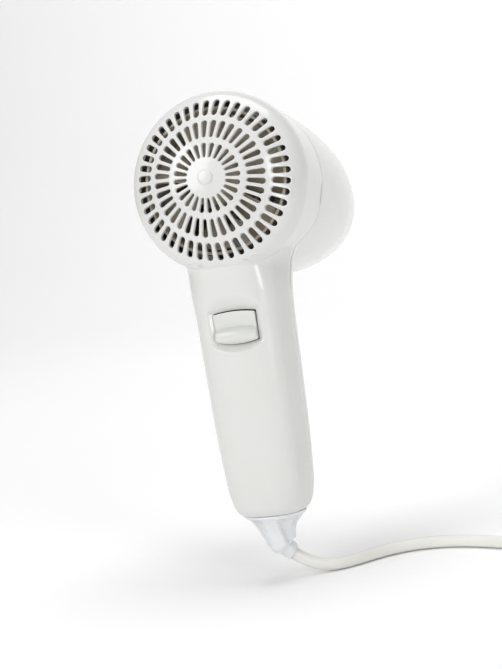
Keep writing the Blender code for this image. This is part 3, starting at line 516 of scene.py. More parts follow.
moulding = make_moulding_group()

# %% [markdown]
# Edge wear: the mesh's own curvature (pointiness) marks outer edges, and noise breaks the mark up, so
# that wear isn't an even outline.

# %% Group: edge wear
def make_edge_group():
    inputs = (("Vector", None), ("Amount", 1.0), ("Start", 0.52))
    group, given, out = new_group("edge_wear", inputs, ("Mask",))
    curvature = group.nodes.new("ShaderNodeNewGeometry").outputs["Pointiness"]
    above = math_node(group, "SUBTRACT", curvature, given.outputs["Start"])
    grown = math_node(group, "MULTIPLY", above, 9.0, clamp=True)
    broken = noise_node(group, given.outputs["Vector"], 260.0, 5.0, 0.65)
    patchy = math_node(group, "MULTIPLY", grown, broken)
    scaled = math_node(group, "MULTIPLY", patchy, given.outputs["Amount"], clamp=True)
    group.links.new(scaled, out.inputs["Mask"])
    return group


edge_wear = make_edge_group()

# %% [markdown]
# Dust: it settles on faces that look up, so the world normal's height picks them out, and noise makes it
# uneven. It only dulls the gloss and greys the colour a little.

# %% Group: dust
def make_dust_group():
    group, given, out = new_group("dust", (("Vector", None), ("Amount", 0.3), ("Scale", 140.0)), ("Mask",))
    normal = group.nodes.new("ShaderNodeNewGeometry").outputs["Normal"]
    split = group.nodes.new("ShaderNodeSeparateXYZ")
    group.links.new(normal, split.inputs[0])
    facing = math_node(group, "MULTIPLY_ADD", split.outputs["Z"], 0.6)
    facing.node.inputs[2].default_value = 0.35
    facing.node.use_clamp = True
    grains = noise_node(group, given.outputs["Vector"], given.outputs["Scale"], 6.0, 0.7)
    patchy = math_node(group, "MULTIPLY", facing, grains)
    scaled = math_node(group, "MULTIPLY", patchy, given.outputs["Amount"], clamp=True)
    group.links.new(scaled, out.inputs["Mask"])
    return group


dust = make_dust_group()
print("groups:", [group.name for group in bpy.data.node_groups])

# %% [markdown]
# ## The finishes
# One function lays out a plastic and one a metal, because their nodes are wired the same way: two tones
# mixed by the mottle, edges and dust laid over, roughness that follows both, and a bump from the fine
# texture. Each finish is then a few numbers. The numbers that don't vary over a surface, such as the
# index of refraction, are set on the shader's own sockets.

# %% Finish builders
def start_material(name):
    made = bpy.data.materials.new(name)
    made.use_nodes = True
    tree = made.node_tree
    shader = tree.nodes["Principled BSDF"]
    place = tree.nodes.new("ShaderNodeTexCoord").outputs["Object"]
    return made, tree, shader, place


def place_group(tree, group, place, **values):
    node = tree.nodes.new("ShaderNodeGroup")
    node.node_tree = group
    tree.links.new(place, node.inputs["Vector"])
    for label, value in values.items():
        node.inputs[label.replace("_", " ")].default_value = value
    return node


def mix_colours(tree, share, first, second):
    """A Mix node for colours, whose two colours are tuples or sockets."""
    node = tree.nodes.new("ShaderNodeMix")
    node.data_type = "RGBA"
    sockets = [s for s in node.inputs if s.type == "RGBA"]
    for socket, value in zip(sockets, (first, second)):
        if isinstance(value, tuple):
            socket.default_value = (*value, 1.0)
        else:
            tree.links.new(value, socket)
    tree.links.new(share, node.inputs["Factor"])
    return next(s for s in node.outputs if s.type == "RGBA")


def bump(tree, shader, height, strength, distance):
    node = tree.nodes.new("ShaderNodeBump")
    node.inputs["Strength"].default_value = strength
    node.inputs["Distance"].default_value = distance
    tree.links.new(height, node.inputs["Height"])
    tree.links.new(node.outputs["Normal"], shader.inputs["Normal"])


def plastic(
    name,
    light,
    dark,
    gloss,
    worn=(0.9, 0.9, 0.88),
    wear=0.35,
    dusty=0.25,
    texture=0.05,
    texture_scale=2500.0,
    mottle_scale=60.0,
):
    """A moulded plastic. gloss is its roughness where it is clean."""
    made, tree, shader, place = start_material(name)
    melt = place_group(tree, moulding, place, Scale=mottle_scale, Texture_Scale=texture_scale)
    edges = place_group(tree, edge_wear, place, Amount=wear)
    settled = place_group(tree, dust, place, Amount=dusty)
    tone = mix_colours(tree, melt.outputs["Mottle"], light, dark)
    rubbed = mix_colours(tree, edges.outputs["Mask"], tone, worn)
    greyed = mix_colours(tree, settled.outputs["Mask"], rubbed, (0.62, 0.60, 0.56))
    tree.links.new(greyed, shader.inputs["Base Color"])
    uneven = math_node(tree, "MULTIPLY_ADD", melt.outputs["Mottle"], 0.10)
    uneven.node.inputs[2].default_value = gloss - 0.05
    dulled = math_node(tree, "ADD", uneven, math_node(tree, "MULTIPLY", settled.outputs["Mask"], 0.35))
    scuffed = math_node(tree, "MULTIPLY", edges.outputs["Mask"], 0.25)
    rough = math_node(tree, "ADD", dulled, scuffed, clamp=True)
    tree.links.new(rough, shader.inputs["Roughness"])
    bump(tree, shader, melt.outputs["Height"], texture, 0.0002)
    return made


def metal(name, bright, dull, gloss, stretch=(1.0, 1.0, 1.0), tarnish=0.5, scratch_scale=900.0):
    """A bare or plated metal with fine drawn lines along one axis and patches of tarnish."""
    made, tree, shader, place = start_material(name)
    shader.inputs["Metallic"].default_value = 1.0
    mapping = tree.nodes.new("ShaderNodeMapping")
    mapping.inputs["Scale"].default_value = stretch
    tree.links.new(place, mapping.inputs["Vector"])
    lines = noise_node(tree, mapping.outputs["Vector"], scratch_scale, 4.0, 0.7)
    patches = place_group(tree, moulding, place, Scale=170.0, Texture_Scale=3200.0)
    edges = place_group(tree, edge_wear, place, Amount=0.8)
    share = math_node(tree, "MULTIPLY", patches.outputs["Mottle"], tarnish, clamp=True)
    base = mix_colours(tree, share, bright, dull)
    tree.links.new(mix_colours(tree, edges.outputs["Mask"], base, bright), shader.inputs["Base Color"])
    rough = math_node(tree, "MULTIPLY_ADD", lines, 0.22)
    rough.node.inputs[2].default_value = gloss - 0.08
    tree.links.new(rough, shader.inputs["Roughness"])
    bump(tree, shader, lines, 0.12, 0.0002)
    return made


# %% [markdown]
# The housing is glossy white ABS. Its clear, shiny skin comes from low roughness, and the faint waviness
# of a moulding is a much slower bump than the tool's texture, so the texture here is broad and shallow.
# The relief is a harder, slightly bluish and translucent white, so it lets some light in. The lead's
# sheath is satin PVC, a little yellower.

# %% Whites
housing_white = plastic(
    "housing_gloss_white",
    (0.71, 0.71, 0.695),
    (0.665, 0.665, 0.645),
    0.13,
    wear=0.25,
    dusty=0.10,
    texture=0.10,
    texture_scale=140.0,
    mottle_scale=35.0,
)
rocker_white = plastic(
    "rocker_white", (0.69, 0.70, 0.675), (0.65, 0.66, 0.63), 0.20, wear=0.35, dusty=0.15, texture=0.05
)
relief_white = plastic(
    "relief_hard_white", (0.79, 0.80, 0.81), (0.73, 0.745, 0.765), 0.24, wear=0.3, dusty=0.15, texture=0.10
)
relief_shader = relief_white.node_tree.nodes["Principled BSDF"]
relief_shader.inputs["Subsurface Weight"].default_value = 0.35
relief_shader.inputs["Subsurface Radius"].default_value = (0.9, 0.95, 1.0)
relief_shader.inputs["Subsurface Scale"].default_value = 0.0015
sheath_white = plastic(
    "sheath_satin_white", (0.80, 0.795, 0.755), (0.74, 0.735, 0.69), 0.34, wear=0.2, dusty=0.35, texture=0.16
)
print("whites made")

# %% [markdown]
# Inside the barrel are a taupe fan, a black duct and grille, and the dark ferrite of the magnets. The
# taupe is a filled nylon with a flow pattern, so its mottle is stronger and finer.

# %% Coloured and dark plastics
fan_taupe = plastic(
    "fan_taupe",
    (0.60, 0.53, 0.43),
    (0.46, 0.40, 0.31),
    0.38,
    worn=(0.62, 0.56, 0.46),
    wear=0.5,
    dusty=0.5,
    texture=0.2,
    texture_scale=1400.0,
    mottle_scale=120.0,
)
black_plastic = plastic(
    "black_satin",
    (0.022, 0.022, 0.023),
    (0.012, 0.012, 0.013),
    0.36,
    worn=(0.09, 0.09, 0.09),
    dusty=0.4,
    texture=0.25,
)
ferrite = plastic(
    "ferrite", (0.060, 0.058, 0.060), (0.030, 0.030, 0.032), 0.55, worn=(0.12, 0.12, 0.12), texture=0.5
)


def insulation(name, light, dark):
    return plastic(name, light, dark, 0.30, worn=light, wear=0.2, dusty=0.2, texture=0.12)


wire_brown = insulation("insulation_brown", (0.16, 0.065, 0.030), (0.10, 0.040, 0.018))
wire_blue = insulation("insulation_blue", (0.030, 0.12, 0.52), (0.018, 0.08, 0.38))
wire_red = insulation("insulation_red", (0.52, 0.045, 0.030), (0.36, 0.028, 0.020))

# %% [markdown]
# Mica boards are pressed from flakes, so cells of a Voronoi texture tint them and lift each flake a
# little. The rectifier's board is paper laminate, whose fibres show as stretched noise.

# %% Mica and laminate
def make_mica():
    made, tree, shader, place = start_material("pressed_mica")
    cells = tree.nodes.new("ShaderNodeTexVoronoi")
    cells.inputs["Scale"].default_value = 420.0
    tree.links.new(place, cells.inputs["Vector"])
    grey = tree.nodes.new("ShaderNodeRGBToBW")
    tree.links.new(cells.outputs["Color"], grey.inputs[0])
    cloud = noise_node(tree, place, 90.0, 5.0, 0.6)
    share = math_node(tree, "MULTIPLY", grey.outputs[0], cloud)
    tone = mix_colours(tree, share, (0.62, 0.55, 0.42), (0.34, 0.28, 0.19))
    tree.links.new(tone, shader.inputs["Base Color"])
    rough = math_node(tree, "MULTIPLY_ADD", grey.outputs[0], 0.25)
    rough.node.inputs[2].default_value = 0.30
    tree.links.new(rough, shader.inputs["Roughness"])
    bump(tree, shader, grey.outputs[0], 0.25, 0.0002)
    return made


def make_laminate():
    made, tree, shader, place = start_material("paper_laminate")
    mapping = tree.nodes.new("ShaderNodeMapping")
    mapping.inputs["Scale"].default_value = (1.0, 6.0, 1.0)
    tree.links.new(place, mapping.inputs["Vector"])
    fibres = noise_node(tree, mapping.outputs["Vector"], 700.0, 6.0, 0.7)
    tone = mix_colours(tree, fibres, (0.52, 0.37, 0.17), (0.33, 0.21, 0.08))
    tree.links.new(tone, shader.inputs["Base Color"])
    rough = math_node(tree, "MULTIPLY_ADD", fibres, 0.2)
    rough.node.inputs[2].default_value = 0.35
    tree.links.new(rough, shader.inputs["Roughness"])
    bump(tree, shader, fibres, 0.2, 0.0001)
    return made


mica = make_mica()
laminate = make_laminate()

# %% [markdown]
# The metals differ in colour, in how bright they are, and in the way they were drawn or stamped. The
# heating wire is straw and blue-grey from heat. The armature's copper shows its windings as a fine wave
# along the shaft.

# %% Metals
steel = metal("zinc_plated_steel", (0.66, 0.66, 0.67), (0.45, 0.45, 0.44), 0.30, (1.0, 1.0, 7.0))
brass = metal("stamped_brass", (0.80, 0.64, 0.33), (0.58, 0.42, 0.18), 0.24, (7.0, 1.0, 1.0))
bronze = metal("sintered_bronze", (0.60, 0.40, 0.24), (0.38, 0.24, 0.14), 0.45, tarnish=0.8)
nichrome = metal("oxidised_heating_wire", (0.50, 0.47, 0.43), (0.24, 0.23, 0.27), 0.34, tarnish=1.0)


def make_winding():
    made, tree, shader, place = start_material("copper_winding")
    shader.inputs["Metallic"].default_value = 1.0
    wave = tree.nodes.new("ShaderNodeTexWave")
    wave.wave_type = "BANDS"
    wave.bands_direction = "Y"
    wave.inputs["Scale"].default_value = 380.0
    wave.inputs["Distortion"].default_value = 1.5
    tree.links.new(place, wave.inputs["Vector"])
    turns = wave.outputs["Fac"]
    tone = mix_colours(tree, turns, (0.32, 0.13, 0.06), (0.80, 0.42, 0.22))
    tree.links.new(tone, shader.inputs["Base Color"])
    rough = math_node(tree, "MULTIPLY_ADD", turns, -0.15)
    rough.node.inputs[2].default_value = 0.42
    tree.links.new(rough, shader.inputs["Roughness"])
    bump(tree, shader, turns, 0.6, 0.0003)
    return made


copper_winding = make_winding()
print(len(bpy.data.materials), "materials in the file")

# %% [markdown]
# ## Dressing pieces
# A piece takes one finish here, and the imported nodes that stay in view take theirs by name.

# %% Dress
def dress(piece, finish):
    piece.data.materials.clear()
    piece.data.materials.append(finish)


dress(lead, sheath_white)
dress(plug, sheath_white)
dress(plug_sleeve, sheath_white)
dress(tie, black_plastic)
for pin in plug_pieces[2:]:
    dress(pin, brass)

NODE_FINISHES = {
    "rocker_pin": steel,
    "switch_body": black_plastic,
    "switch_tab_common": brass,
    "switch_tab_low": brass,
    "switch_tab_high": brass,
    "fan_duct": fan_taupe,
    "motor_can": steel,
    "motor_end_cap": black_plastic,
    "bush_rear": bronze,
    "bush_front": bronze,
    "motor_shaft": steel,
    "armature": copper_winding,
    "magnet_left": ferrite,
    "magnet_right": ferrite,
    "rectifier_board": laminate,
    "diode_1": black_plastic,
    "diode_2": black_plastic,
    "diode_3": black_plastic,
    "diode_4": black_plastic,
    "heat_shield": mica,
    "mica_board_flat": mica,
    "mica_board_upright": mica,
    "thermostat": steel,
    "thermal_fuse": black_plastic,
    "cord_inside": sheath_white,
    "cord_clamp": black_plastic,
    "clamp_screw_left": steel,
    "clamp_screw_right": steel,
    "core_live": wire_brown,
    "core_neutral": wire_blue,
    "wire_low": wire_red,
    "wire_high": wire_red,
}
for name, finish in NODE_FINISHES.items():
    dress(frame["nodes"][name], finish)

# %% [markdown]
# ## The head's outline
# The head is two turned mouldings that meet at a parting line: a rear dome with a rounded rim, and a
# barrel that bulges a little and tapers to the outlet. Both outlines are written as (radius, height)
# points along the nose axis: a sphere for the dome, an arc for the rim, and one cubic curve for the
# barrel, so the whole head needs only a dozen numbers.

# %% Head outline
DOME_RADIUS = 0.0693
DOME_APEX = -0.0100
DOME_EDGE = 0.0405
RIM_RADIUS = 0.0456
WALL = 0.0020
PARTING = 0.0410
PARTING_RADIUS = 0.0443
BARREL_LENGTH = 0.1450
OUTLET_RADIUS = 0.0325
BARREL_CURVE = ((PARTING_RADIUS, PARTING), (0.0443, 0.0850), (0.0400, 0.1150), (OUTLET_RADIUS, BARREL_LENGTH))
LIP_ROUND = 0.0012
EDGE_ROUND = 0.00030
GAP = 0.0002


def dome_height(radius, inset=0.0):
    sphere = DOME_RADIUS - inset
    return DOME_APEX + DOME_RADIUS - math.sqrt(sphere * sphere - radius * radius)


def rim_arc(inset, steps):
    """From the dome's edge round the rim, in (radius, height)."""
    slope = math.asin(DOME_EDGE / DOME_RADIUS)
    size = (RIM_RADIUS - DOME_EDGE) / (1.0 - math.sin(slope))
    centre = (RIM_RADIUS - size, dome_height(DOME_EDGE) + size * math.cos(slope))
    return arc(centre, size - inset, math.degrees(slope) - 90, 0, steps)


def band_radius(height):
    """Outside radius of the rear moulding between its rim and the parting line."""
    start = rim_arc(0.0, 1)[-1]
    share = (height - start[1]) / (PARTING - start[1])
    return start[0] + (PARTING_RADIUS - start[0]) * share


def barrel_points(steps, first=0.0):
    points = []
    for i in range(steps + 1):
        t = first + (1.0 - first) * i / steps
        weights = ((1 - t) ** 3, 3 * t * (1 - t) ** 2, 3 * t * t * (1 - t), t**3)
        points.append(tuple(sum(w * p[k] for w, p in zip(weights, BARREL_CURVE)) for k in (0, 1)))
    return points


HEAD_LINE = np.array(
    [(r, dome_height(r)) for r in np.linspace(0.0, DOME_EDGE, 30)][:-1] + rim_arc(0.0, 12) + barrel_points(40)
)


def above_head(point):
    """Signed distance of a point from the head's surface in metres, positive outside."""
    local = head.inverted() @ Vector(point)
    spot = np.array((math.hypot(local.x, local.y), local.z))
    first, second = HEAD_LINE[:-1], HEAD_LINE[1:]
    along = second - first
    share = np.clip(((spot - first) * along).sum(1) / (along * along).sum(1), 0.0, 1.0)
    away = spot - (first + share[:, None] * along)
    nearest = int((away**2).sum(1).argmin())
    normal = np.array((along[nearest][1], -along[nearest][0]))
    return math.copysign(float(np.hypot(*away[nearest])), float(away[nearest] @ normal))


print("head", round(BARREL_LENGTH - DOME_APEX, 4), "m long, at most", round(2 * RIM_RADIUS, 4), "m across")

# %% [markdown]
# Near the handle the parting line doesn't stay in one plane: it swings back towards the grille and runs
# down into the seam between the two halves of the handle. `seam_height` says where it is at each angle
# from the underside, and both mouldings end on it.

# %% Seam
SEAM_SWING = 0.0085
SEAM_START = math.radians(34.0)
SEAM_END = math.radians(60.0)


def seam_height(angle):
    """Height of the parting line along the nose axis. The angle is 0 at the underside."""
    from_below = abs(math.remainder(angle, 2 * math.pi))
    return PARTING - SEAM_SWING * (1.0 - float(ease((from_below - SEAM_START) / (SEAM_END - SEAM_START))))


def below_angle(x, y):
    """Angle of a head-space point from the underside, which is local +Y."""
    return math.atan2(x, y)


# %% [markdown]
# ## The slotted dome
# The intake is moulded in one with the rear shell: three rings of 24, 36 and 44 slots, widening outward,
# round a plain disc with a small button. Cutting 104 slots with Booleans would leave ragged shading on a
# glossy dome, so the mesh is laid out round the slots instead. Each slot sits in its own sector: loops
# of equal point count run from the sector's border to the slot's outline, round over its edge, go down
# its wall and come back along the inside.

# %% Slots
SLOT_RINGS = (
    # slots, border radii, slot ends, widths at the inner and outer end, steps on a sector's arc
    (24, (0.0088, 0.0185), (0.0100, 0.0173), (0.00155, 0.00245), 8),
    (36, (0.0190, 0.0300), (0.0200, 0.0289), (0.0020, 0.0030), 6),
    (44, (0.0304, DOME_EDGE), (0.0314, 0.0398), (0.0031, 0.0031), 6),
)
SIDE_STEPS = 5
SLOT_ROUND = 0.00045
BUTTON_RADIUS = 0.0036
BUTTON_HEIGHT = 0.0009
BUTTON_FILLET = 0.0003
BUTTON_SHOULDER = 0.0006


def slot_loop(ends, widths, grow, arc_steps):
    """A slot's outline in (along, across): its outer end, one side, its inner end and the other side."""
    half_in, half_out = widths[0] / 2 + grow, widths[1] / 2 + grow
    centre_in, centre_out = ends[0] + widths[0] / 2, ends[1] - widths[1] / 2
    loop = arc((centre_out, 0.0), half_out, -90, 90, arc_steps)[:-1]
    for i in range(SIDE_STEPS):
        share = i / SIDE_STEPS
        loop.append((centre_out + (centre_in - centre_out) * share, half_out + (half_in - half_out) * share))
    loop += arc((centre_in, 0.0), half_in, 90, 270, arc_steps)[:-1]
    for i in range(SIDE_STEPS):
        share = i / SIDE_STEPS
        loop.append((centre_in + (centre_out - centre_in) * share, -half_in - (half_out - half_in) * share))
    return loop


def border_loop(count, border, arc_steps):
    """The sector's border in the same order, as (radius, angle)."""
    half = math.pi / count
    low, high = border
    loop = [(high, -half + 2 * half * i / arc_steps) for i in range(arc_steps)]
    loop += [(high + (low - high) * i / SIDE_STEPS, half) for i in range(SIDE_STEPS)]
    loop += [(low, half - 2 * half * i / arc_steps) for i in range(arc_steps)]
    loop += [(low + (high - low) * i / SIDE_STEPS, -half) for i in range(SIDE_STEPS)]
    return [(r * math.cos(a), r * math.sin(a)) for r, a in loop]


def sector_loops(ring):
    """All loops of one sector from the outer border to the inner border, as lists of points."""
    count, border, ends, widths, arc_steps = ring
    edge = border_loop(count, border, arc_steps)
    rim = slot_loop(ends, widths, SLOT_ROUND, arc_steps)
    halfway = [((a + c) / 2, (b + d) / 2) for (a, b), (c, d) in zip(edge, rim)]
    loops = [[(x, y, dome_height(math.hypot(x, y))) for x, y in line] for line in (edge, halfway, rim)]
    for degrees in (30, 60, 90):
        turn = math.radians(degrees)
        line = slot_loop(ends, widths, SLOT_ROUND * (1 - math.sin(turn)), arc_steps)
        drop = SLOT_ROUND * (1 - math.cos(turn))
        loops.append([(x, y, dome_height(math.hypot(x, y)) + drop) for x, y in line])
    hole = slot_loop(ends, widths, 0.0, arc_steps)
    for line in (hole, [((a + c) / 2, (b + d) / 2) for (a, b), (c, d) in zip(edge, hole)], edge):
        loops.append([(x, y, dome_height(math.hypot(x, y), WALL)) for x, y in line])
    return loops


def zip_circles(bm, first, second):
    """Fills the band between two circles whose points differ in number."""

    def by_angle(verts):
        return sorted(verts, key=lambda v: math.atan2(v.co.y, v.co.x) % (2 * math.pi))

    first, second = by_angle(first), by_angle(second)
    i = j = 0
    while i < len(first) or j < len(second):
        if j >= len(second) or (i < len(first) and i / len(first) <= j / len(second)):
            bm.faces.new((first[i], first[(i + 1) % len(first)], second[j % len(second)]))
            i += 1
        else:
            bm.faces.new((first[i % len(first)], second[(j + 1) % len(second)], second[j]))
            j += 1


def make_slotted_dome(bm):
    """Adds the dome's two skins with their slots. It returns the outermost circles, outside and inside."""
    skins = {0: [], 1: []}
    for ring in SLOT_RINGS:
        count, border = ring[0], ring[1]
        loops = sector_loops(ring)
        started = len(bm.verts)
        for i in range(count):
            turn = Matrix.Rotation(2 * math.pi * i / count, 3, "Z")
            rows = [[bm.verts.new(turn @ Vector(p)) for p in loop] for loop in loops]
            for outer, inner in zip(rows, rows[1:]):
                for k in range(len(outer)):
                    m = (k + 1) % len(outer)
                    bm.faces.new((outer[k], outer[m], inner[m], inner[k]))
        bm.verts.ensure_lookup_table()
        bmesh.ops.remove_doubles(bm, verts=bm.verts[started:], dist=1e-6)
        bm.verts.ensure_lookup_table()
        for side, inset in ((0, 0.0), (1, WALL)):
            for radius in border:
                height = dome_height(radius, inset)
                skins[side].append(
                    [
                        v
                        for v in bm.verts[started:]
                        if abs(math.hypot(v.co.x, v.co.y) - radius) < 2e-6 and abs(v.co.z - height) < 2e-6
                    ]
                )
    for circles in skins.values():
        zip_circles(bm, circles[1], circles[2])
        zip_circles(bm, circles[3], circles[4])
    return skins


# %% [markdown]
# The middle of the dome is closed by rows of shrinking circles that follow the button's outline, then the
# rim and the band run outward to the seam and back inside. A row that ends on the seam takes its height
# from each point's angle.

# %% Dome middle, rim and band
def add_circle(bm, pattern, radius, height):
    """A circle of points at the same angles as pattern's. height may be a function of the angle."""
    made = []
    for v in pattern:
        angle = math.atan2(v.co.y, v.co.x)
        x, y = math.cos(angle), math.sin(angle)
        level_here = height(below_angle(x, y)) if callable(height) else height
        size = radius(level_here) if callable(radius) else radius
        made.append(bm.verts.new((size * x, size * y, level_here)))
    return made


def by_angle(circle):
    return sorted(circle, key=lambda v: math.atan2(v.co.y, v.co.x))


def join_circles(bm, first, second):
    for k in range(len(first)):
        m = (k + 1) % len(first)
        bm.faces.new((first[k], first[m], second[m], second[k]))


def close_middle(bm, circle, outline):
    circle = by_angle(circle)
    for radius, height in outline:
        following = add_circle(bm, circle, radius, height)
        join_circles(bm, circle, following)
        circle = following
    centre = bm.verts.new((0.0, 0.0, outline[-1][1]))
    for k in range(len(circle)):
        bm.faces.new((circle[k], circle[(k + 1) % len(circle)], centre))


def button_outline():
    """From the plain disc up a small fillet and over the button's soft crown, in (radius, height)."""
    base = dome_height(BUTTON_RADIUS)
    points = [(r, dome_height(r)) for r in (0.0076, 0.0062, 0.0050, 0.0044)]
    for turn in (0.5, 1.0):
        out, up = BUTTON_FILLET * (1 - math.sin(turn)), BUTTON_FILLET * (1 - math.cos(turn))
        points.append((BUTTON_RADIUS + out, base - up))
    rise = BUTTON_HEIGHT - BUTTON_SHOULDER
    points.append((BUTTON_RADIUS, base - rise))
    for turn in (0.5, 1.0, 1.45):
        back = BUTTON_SHOULDER * (1 - math.cos(turn))
        points.append((BUTTON_RADIUS - back, base - rise - 0.0005 * math.sin(turn)))
    points += [(r, base - BUTTON_HEIGHT - 0.00018 * (1 - (r / 0.003) ** 2)) for r in (0.0022, 0.0014, 0.0006)]
    return points


def make_rear_head():
    bm = bmesh.new()
    skins = make_slotted_dome(bm)
    close_middle(bm, skins[0][0], button_outline())
    close_middle(bm, skins[1][0], [(0.004, dome_height(0.004, WALL))])
    circle = by_angle(skins[0][-1])
    rim = rim_arc(0.0, 12)
    rows = [(radius, height) for radius, height in rim[1:]]
    start = rim[-1][1]
    for share in (0.25, 0.5, 0.75, 0.9):
        rows.append((band_radius, lambda angle, s=share: start + (seam_height(angle) - start) * s))
    for degrees in (0, 30, 60, 90):
        turn = math.radians(degrees)
        back_off = EDGE_ROUND * (1 - math.sin(turn)) + GAP / 2
        drop = EDGE_ROUND * (1 - math.cos(turn))
        rows.append(
            (
                lambda height, d=drop: band_radius(height) - d,
                lambda angle, b=back_off: seam_height(angle) - b,
            )
        )
    rows.append((lambda height: band_radius(height) - WALL, lambda angle: seam_height(angle) - GAP / 2))
    rows.append((lambda height: band_radius(height) - WALL, start + 0.004))
    rows += [(radius, height) for radius, height in rim_arc(WALL, 8)[::-1]]
    for radius, height in rows:
        following = add_circle(bm, circle, radius, height)
        join_circles(bm, circle, following)
        circle = following
    join_circles(bm, circle, by_angle(skins[1][-1]))
    return moved(bm, head)


rear_head = make_rear_head()
print("rear head:", len(rear_head.faces), "faces")

# %% [markdown]
# ## The handle
# The handle is two half shells whose section is a superellipse, a square with very soft corners. It
# stays almost straight down to the rounded foot and widens a little towards the head. The stations give
# its half width and its depth behind and in front of the seam, and cubic interpolation makes them flow.

# %% Handle sections
SQUARENESS = 2.4
HANDLE_WALL = 0.0022
FOOT = -0.0640
HANDLE_STATIONS = (
    # height, half width, rear depth, front depth
    (-0.064, 0.0168, 0.0142, 0.0141),
    (-0.062, 0.0188, 0.0160, 0.0158),
    (-0.058, 0.0206, 0.0174, 0.0171),
    (-0.052, 0.0219, 0.0183, 0.0180),
    (-0.040, 0.0229, 0.0189, 0.0187),
    (-0.020, 0.0239, 0.0194, 0.0194),
    (0.010, 0.0246, 0.0200, 0.0202),
    (0.040, 0.0252, 0.0207, 0.0212),
    (0.054, 0.0260, 0.0213, 0.0228),
    (0.066, 0.0268, 0.0222, 0.0255),
    (0.078, 0.0278, 0.0235, 0.0300),
)
station_table = np.array(HANDLE_STATIONS)
station_slopes = np.gradient(station_table[:, 1:], station_table[:, 0], axis=0)


def handle_size(height):
    """Half width, rear depth and front depth at a height, on a cubic through the stations."""
    heights = station_table[:, 0]
    k = int(np.clip(np.searchsorted(heights, height) - 1, 0, len(heights) - 2))
    step = heights[k + 1] - heights[k]
    t = (height - heights[k]) / step
    shape = ((1 + 2 * t) * (1 - t) ** 2, t * (1 - t) ** 2, t * t * (3 - 2 * t), t * t * (t - 1))
    sizes, slopes = station_table[:, 1:], station_slopes * step
    rows = (sizes[k], slopes[k], sizes[k + 1], slopes[k + 1])
    return sum(s * row for s, row in zip(shape, rows))


def side_point(angle, height, side, inset=0.0, drift=0.0):
    """A point of one half's section. side is -1 behind and 1 in front; drift slides the seam forward."""
    half_width, rear, front = handle_size(height)
    depth = (rear if side < 0 else front) - inset
    half_width = half_width - inset
    power = 2 / SQUARENESS
    x = half_width * math.copysign(abs(math.cos(angle)) ** power, math.cos(angle))
    y = depth * max(0.0, math.sin(angle)) ** power
    slid = side * y + drift * (1 - y / depth)
    other = (rear if slid < 0 else front) - inset

    def width_at(distance, reach):
        return max(1e-9, 1 - min(1.0, abs(distance) / reach) ** SQUARENESS) ** (1 / SQUARENESS)

    if drift:
        x *= min(1.02, width_at(slid, other) / width_at(y, depth)) if y < 0.9 * depth else 1.0
    return Vector((x, slid + side * GAP / 2, height))


# %% [markdown]
# ## The switch pocket
# A shallow pocket is pressed into the rear half round the rocker. Its floor is flat while the handle is
# round, so its lower and upper borders come out as arcs and its sides as narrow slopes. The pocket is a
# depth that is blended with the handle's own surface by a smooth maximum, which gives it soft borders.

# %% Pocket and window
ROCKER_HALF_WIDTH = 0.01075
ROCKER_TOP = 0.0082
ROCKER_BOTTOM = -0.0082
TOP_ARCH = 0.0010
BOTTOM_ARCH = 0.0014
WINDOW_GAP = 0.0004
WINDOW_SIDE_GAP = 0.00028
POCKET_FLOOR = -0.0166
POCKET_BLEND = 0.0003


def window_edges(x):
    """Heights of the window's lower and upper edge at a place across it."""
    share = min(1.3, abs(x) / ROCKER_HALF_WIDTH) ** 2
    low = SWITCH_HEIGHT + ROCKER_BOTTOM - WINDOW_GAP + BOTTOM_ARCH * share
    high = SWITCH_HEIGHT + ROCKER_TOP + WINDOW_GAP - TOP_ARCH * share
    return low, high


def pocket_depth(x, height):
    """How far back the pocket's surface lies, as a Y, before it is blended."""
    low, high = window_edges(x)
    beyond_side = max(0.0, abs(x) - ROCKER_HALF_WIDTH - 0.0007)
    beyond_low = max(0.0, low - 0.0004 - height)
    beyond_high = max(0.0, height - high - 0.0004)
    slopes = (0.60 * beyond_side, 1.15 * beyond_low, 0.62 * beyond_high)
    return POCKET_FLOOR - math.hypot(*slopes)


def pressed(point):
    """The point moved into the pocket, where the pocket is deeper than the handle's surface."""
    floor = pocket_depth(point.x, point.z)
    difference = (floor - point.y) / POCKET_BLEND
    if difference < -6.0:
        return point
    share = math.log1p(math.exp(min(30.0, difference))) * POCKET_BLEND
    return Vector((point.x, point.y + share, point.z))


# %% [markdown]
# Each half is a grid of columns round the section and rows up the handle. Extra grid lines lie close to
# the seam and to the window, where edges are rounded over. Towards the top, each column is bent along a
# short Bezier curve that leaves the handle and lands flat on the head, which makes the fillet there.

# %% Handle grid
ROUND_OFF = 0.00030
EDGE_LINES = (0.0, 0.00008, 0.00018, ROUND_OFF)
FILLET_SIDE = 0.0092
FILLET_REAR = 0.0013
FILLET_FRONT = 0.0060
FILLET_STEPS = 10
DRIFT_END = 0.0088
BURIED = 0.00035


def rounding(distance):
    """How far a surface drops near an edge that is rounded over, at a distance from the edge."""
    if distance >= ROUND_OFF:
        return 0.0
    return ROUND_OFF - math.sqrt(ROUND_OFF**2 - (ROUND_OFF - distance) ** 2)


def column_angles(side):
    """Angles round a half section, from +X to -X, with lines close to the seam and the window."""
    half_width, rear, front = handle_size(SWITCH_HEIGHT)
    depth = rear if side < 0 else front
    places = [math.asin((d / depth) ** (SQUARENESS / 2)) for d in (*EDGE_LINES, 0.0012, 0.0024, 0.004)]
    edge = ROCKER_HALF_WIDTH + WINDOW_SIDE_GAP
    across = [edge + d for d in EDGE_LINES] if side < 0 else []
    across += [x for x in np.arange(0.0, 0.0215, 0.0006) if all(abs(x - e) > 0.00025 for e in across)]
    places += [math.acos((x / half_width) ** (SQUARENESS / 2)) for x in across]
    places = sorted(places)
    kept = [places[0]]
    for angle in places[1:]:
        if angle - kept[-1] > 1e-4:
            kept.append(angle)
    return kept + [math.pi - a for a in kept[-2::-1]]


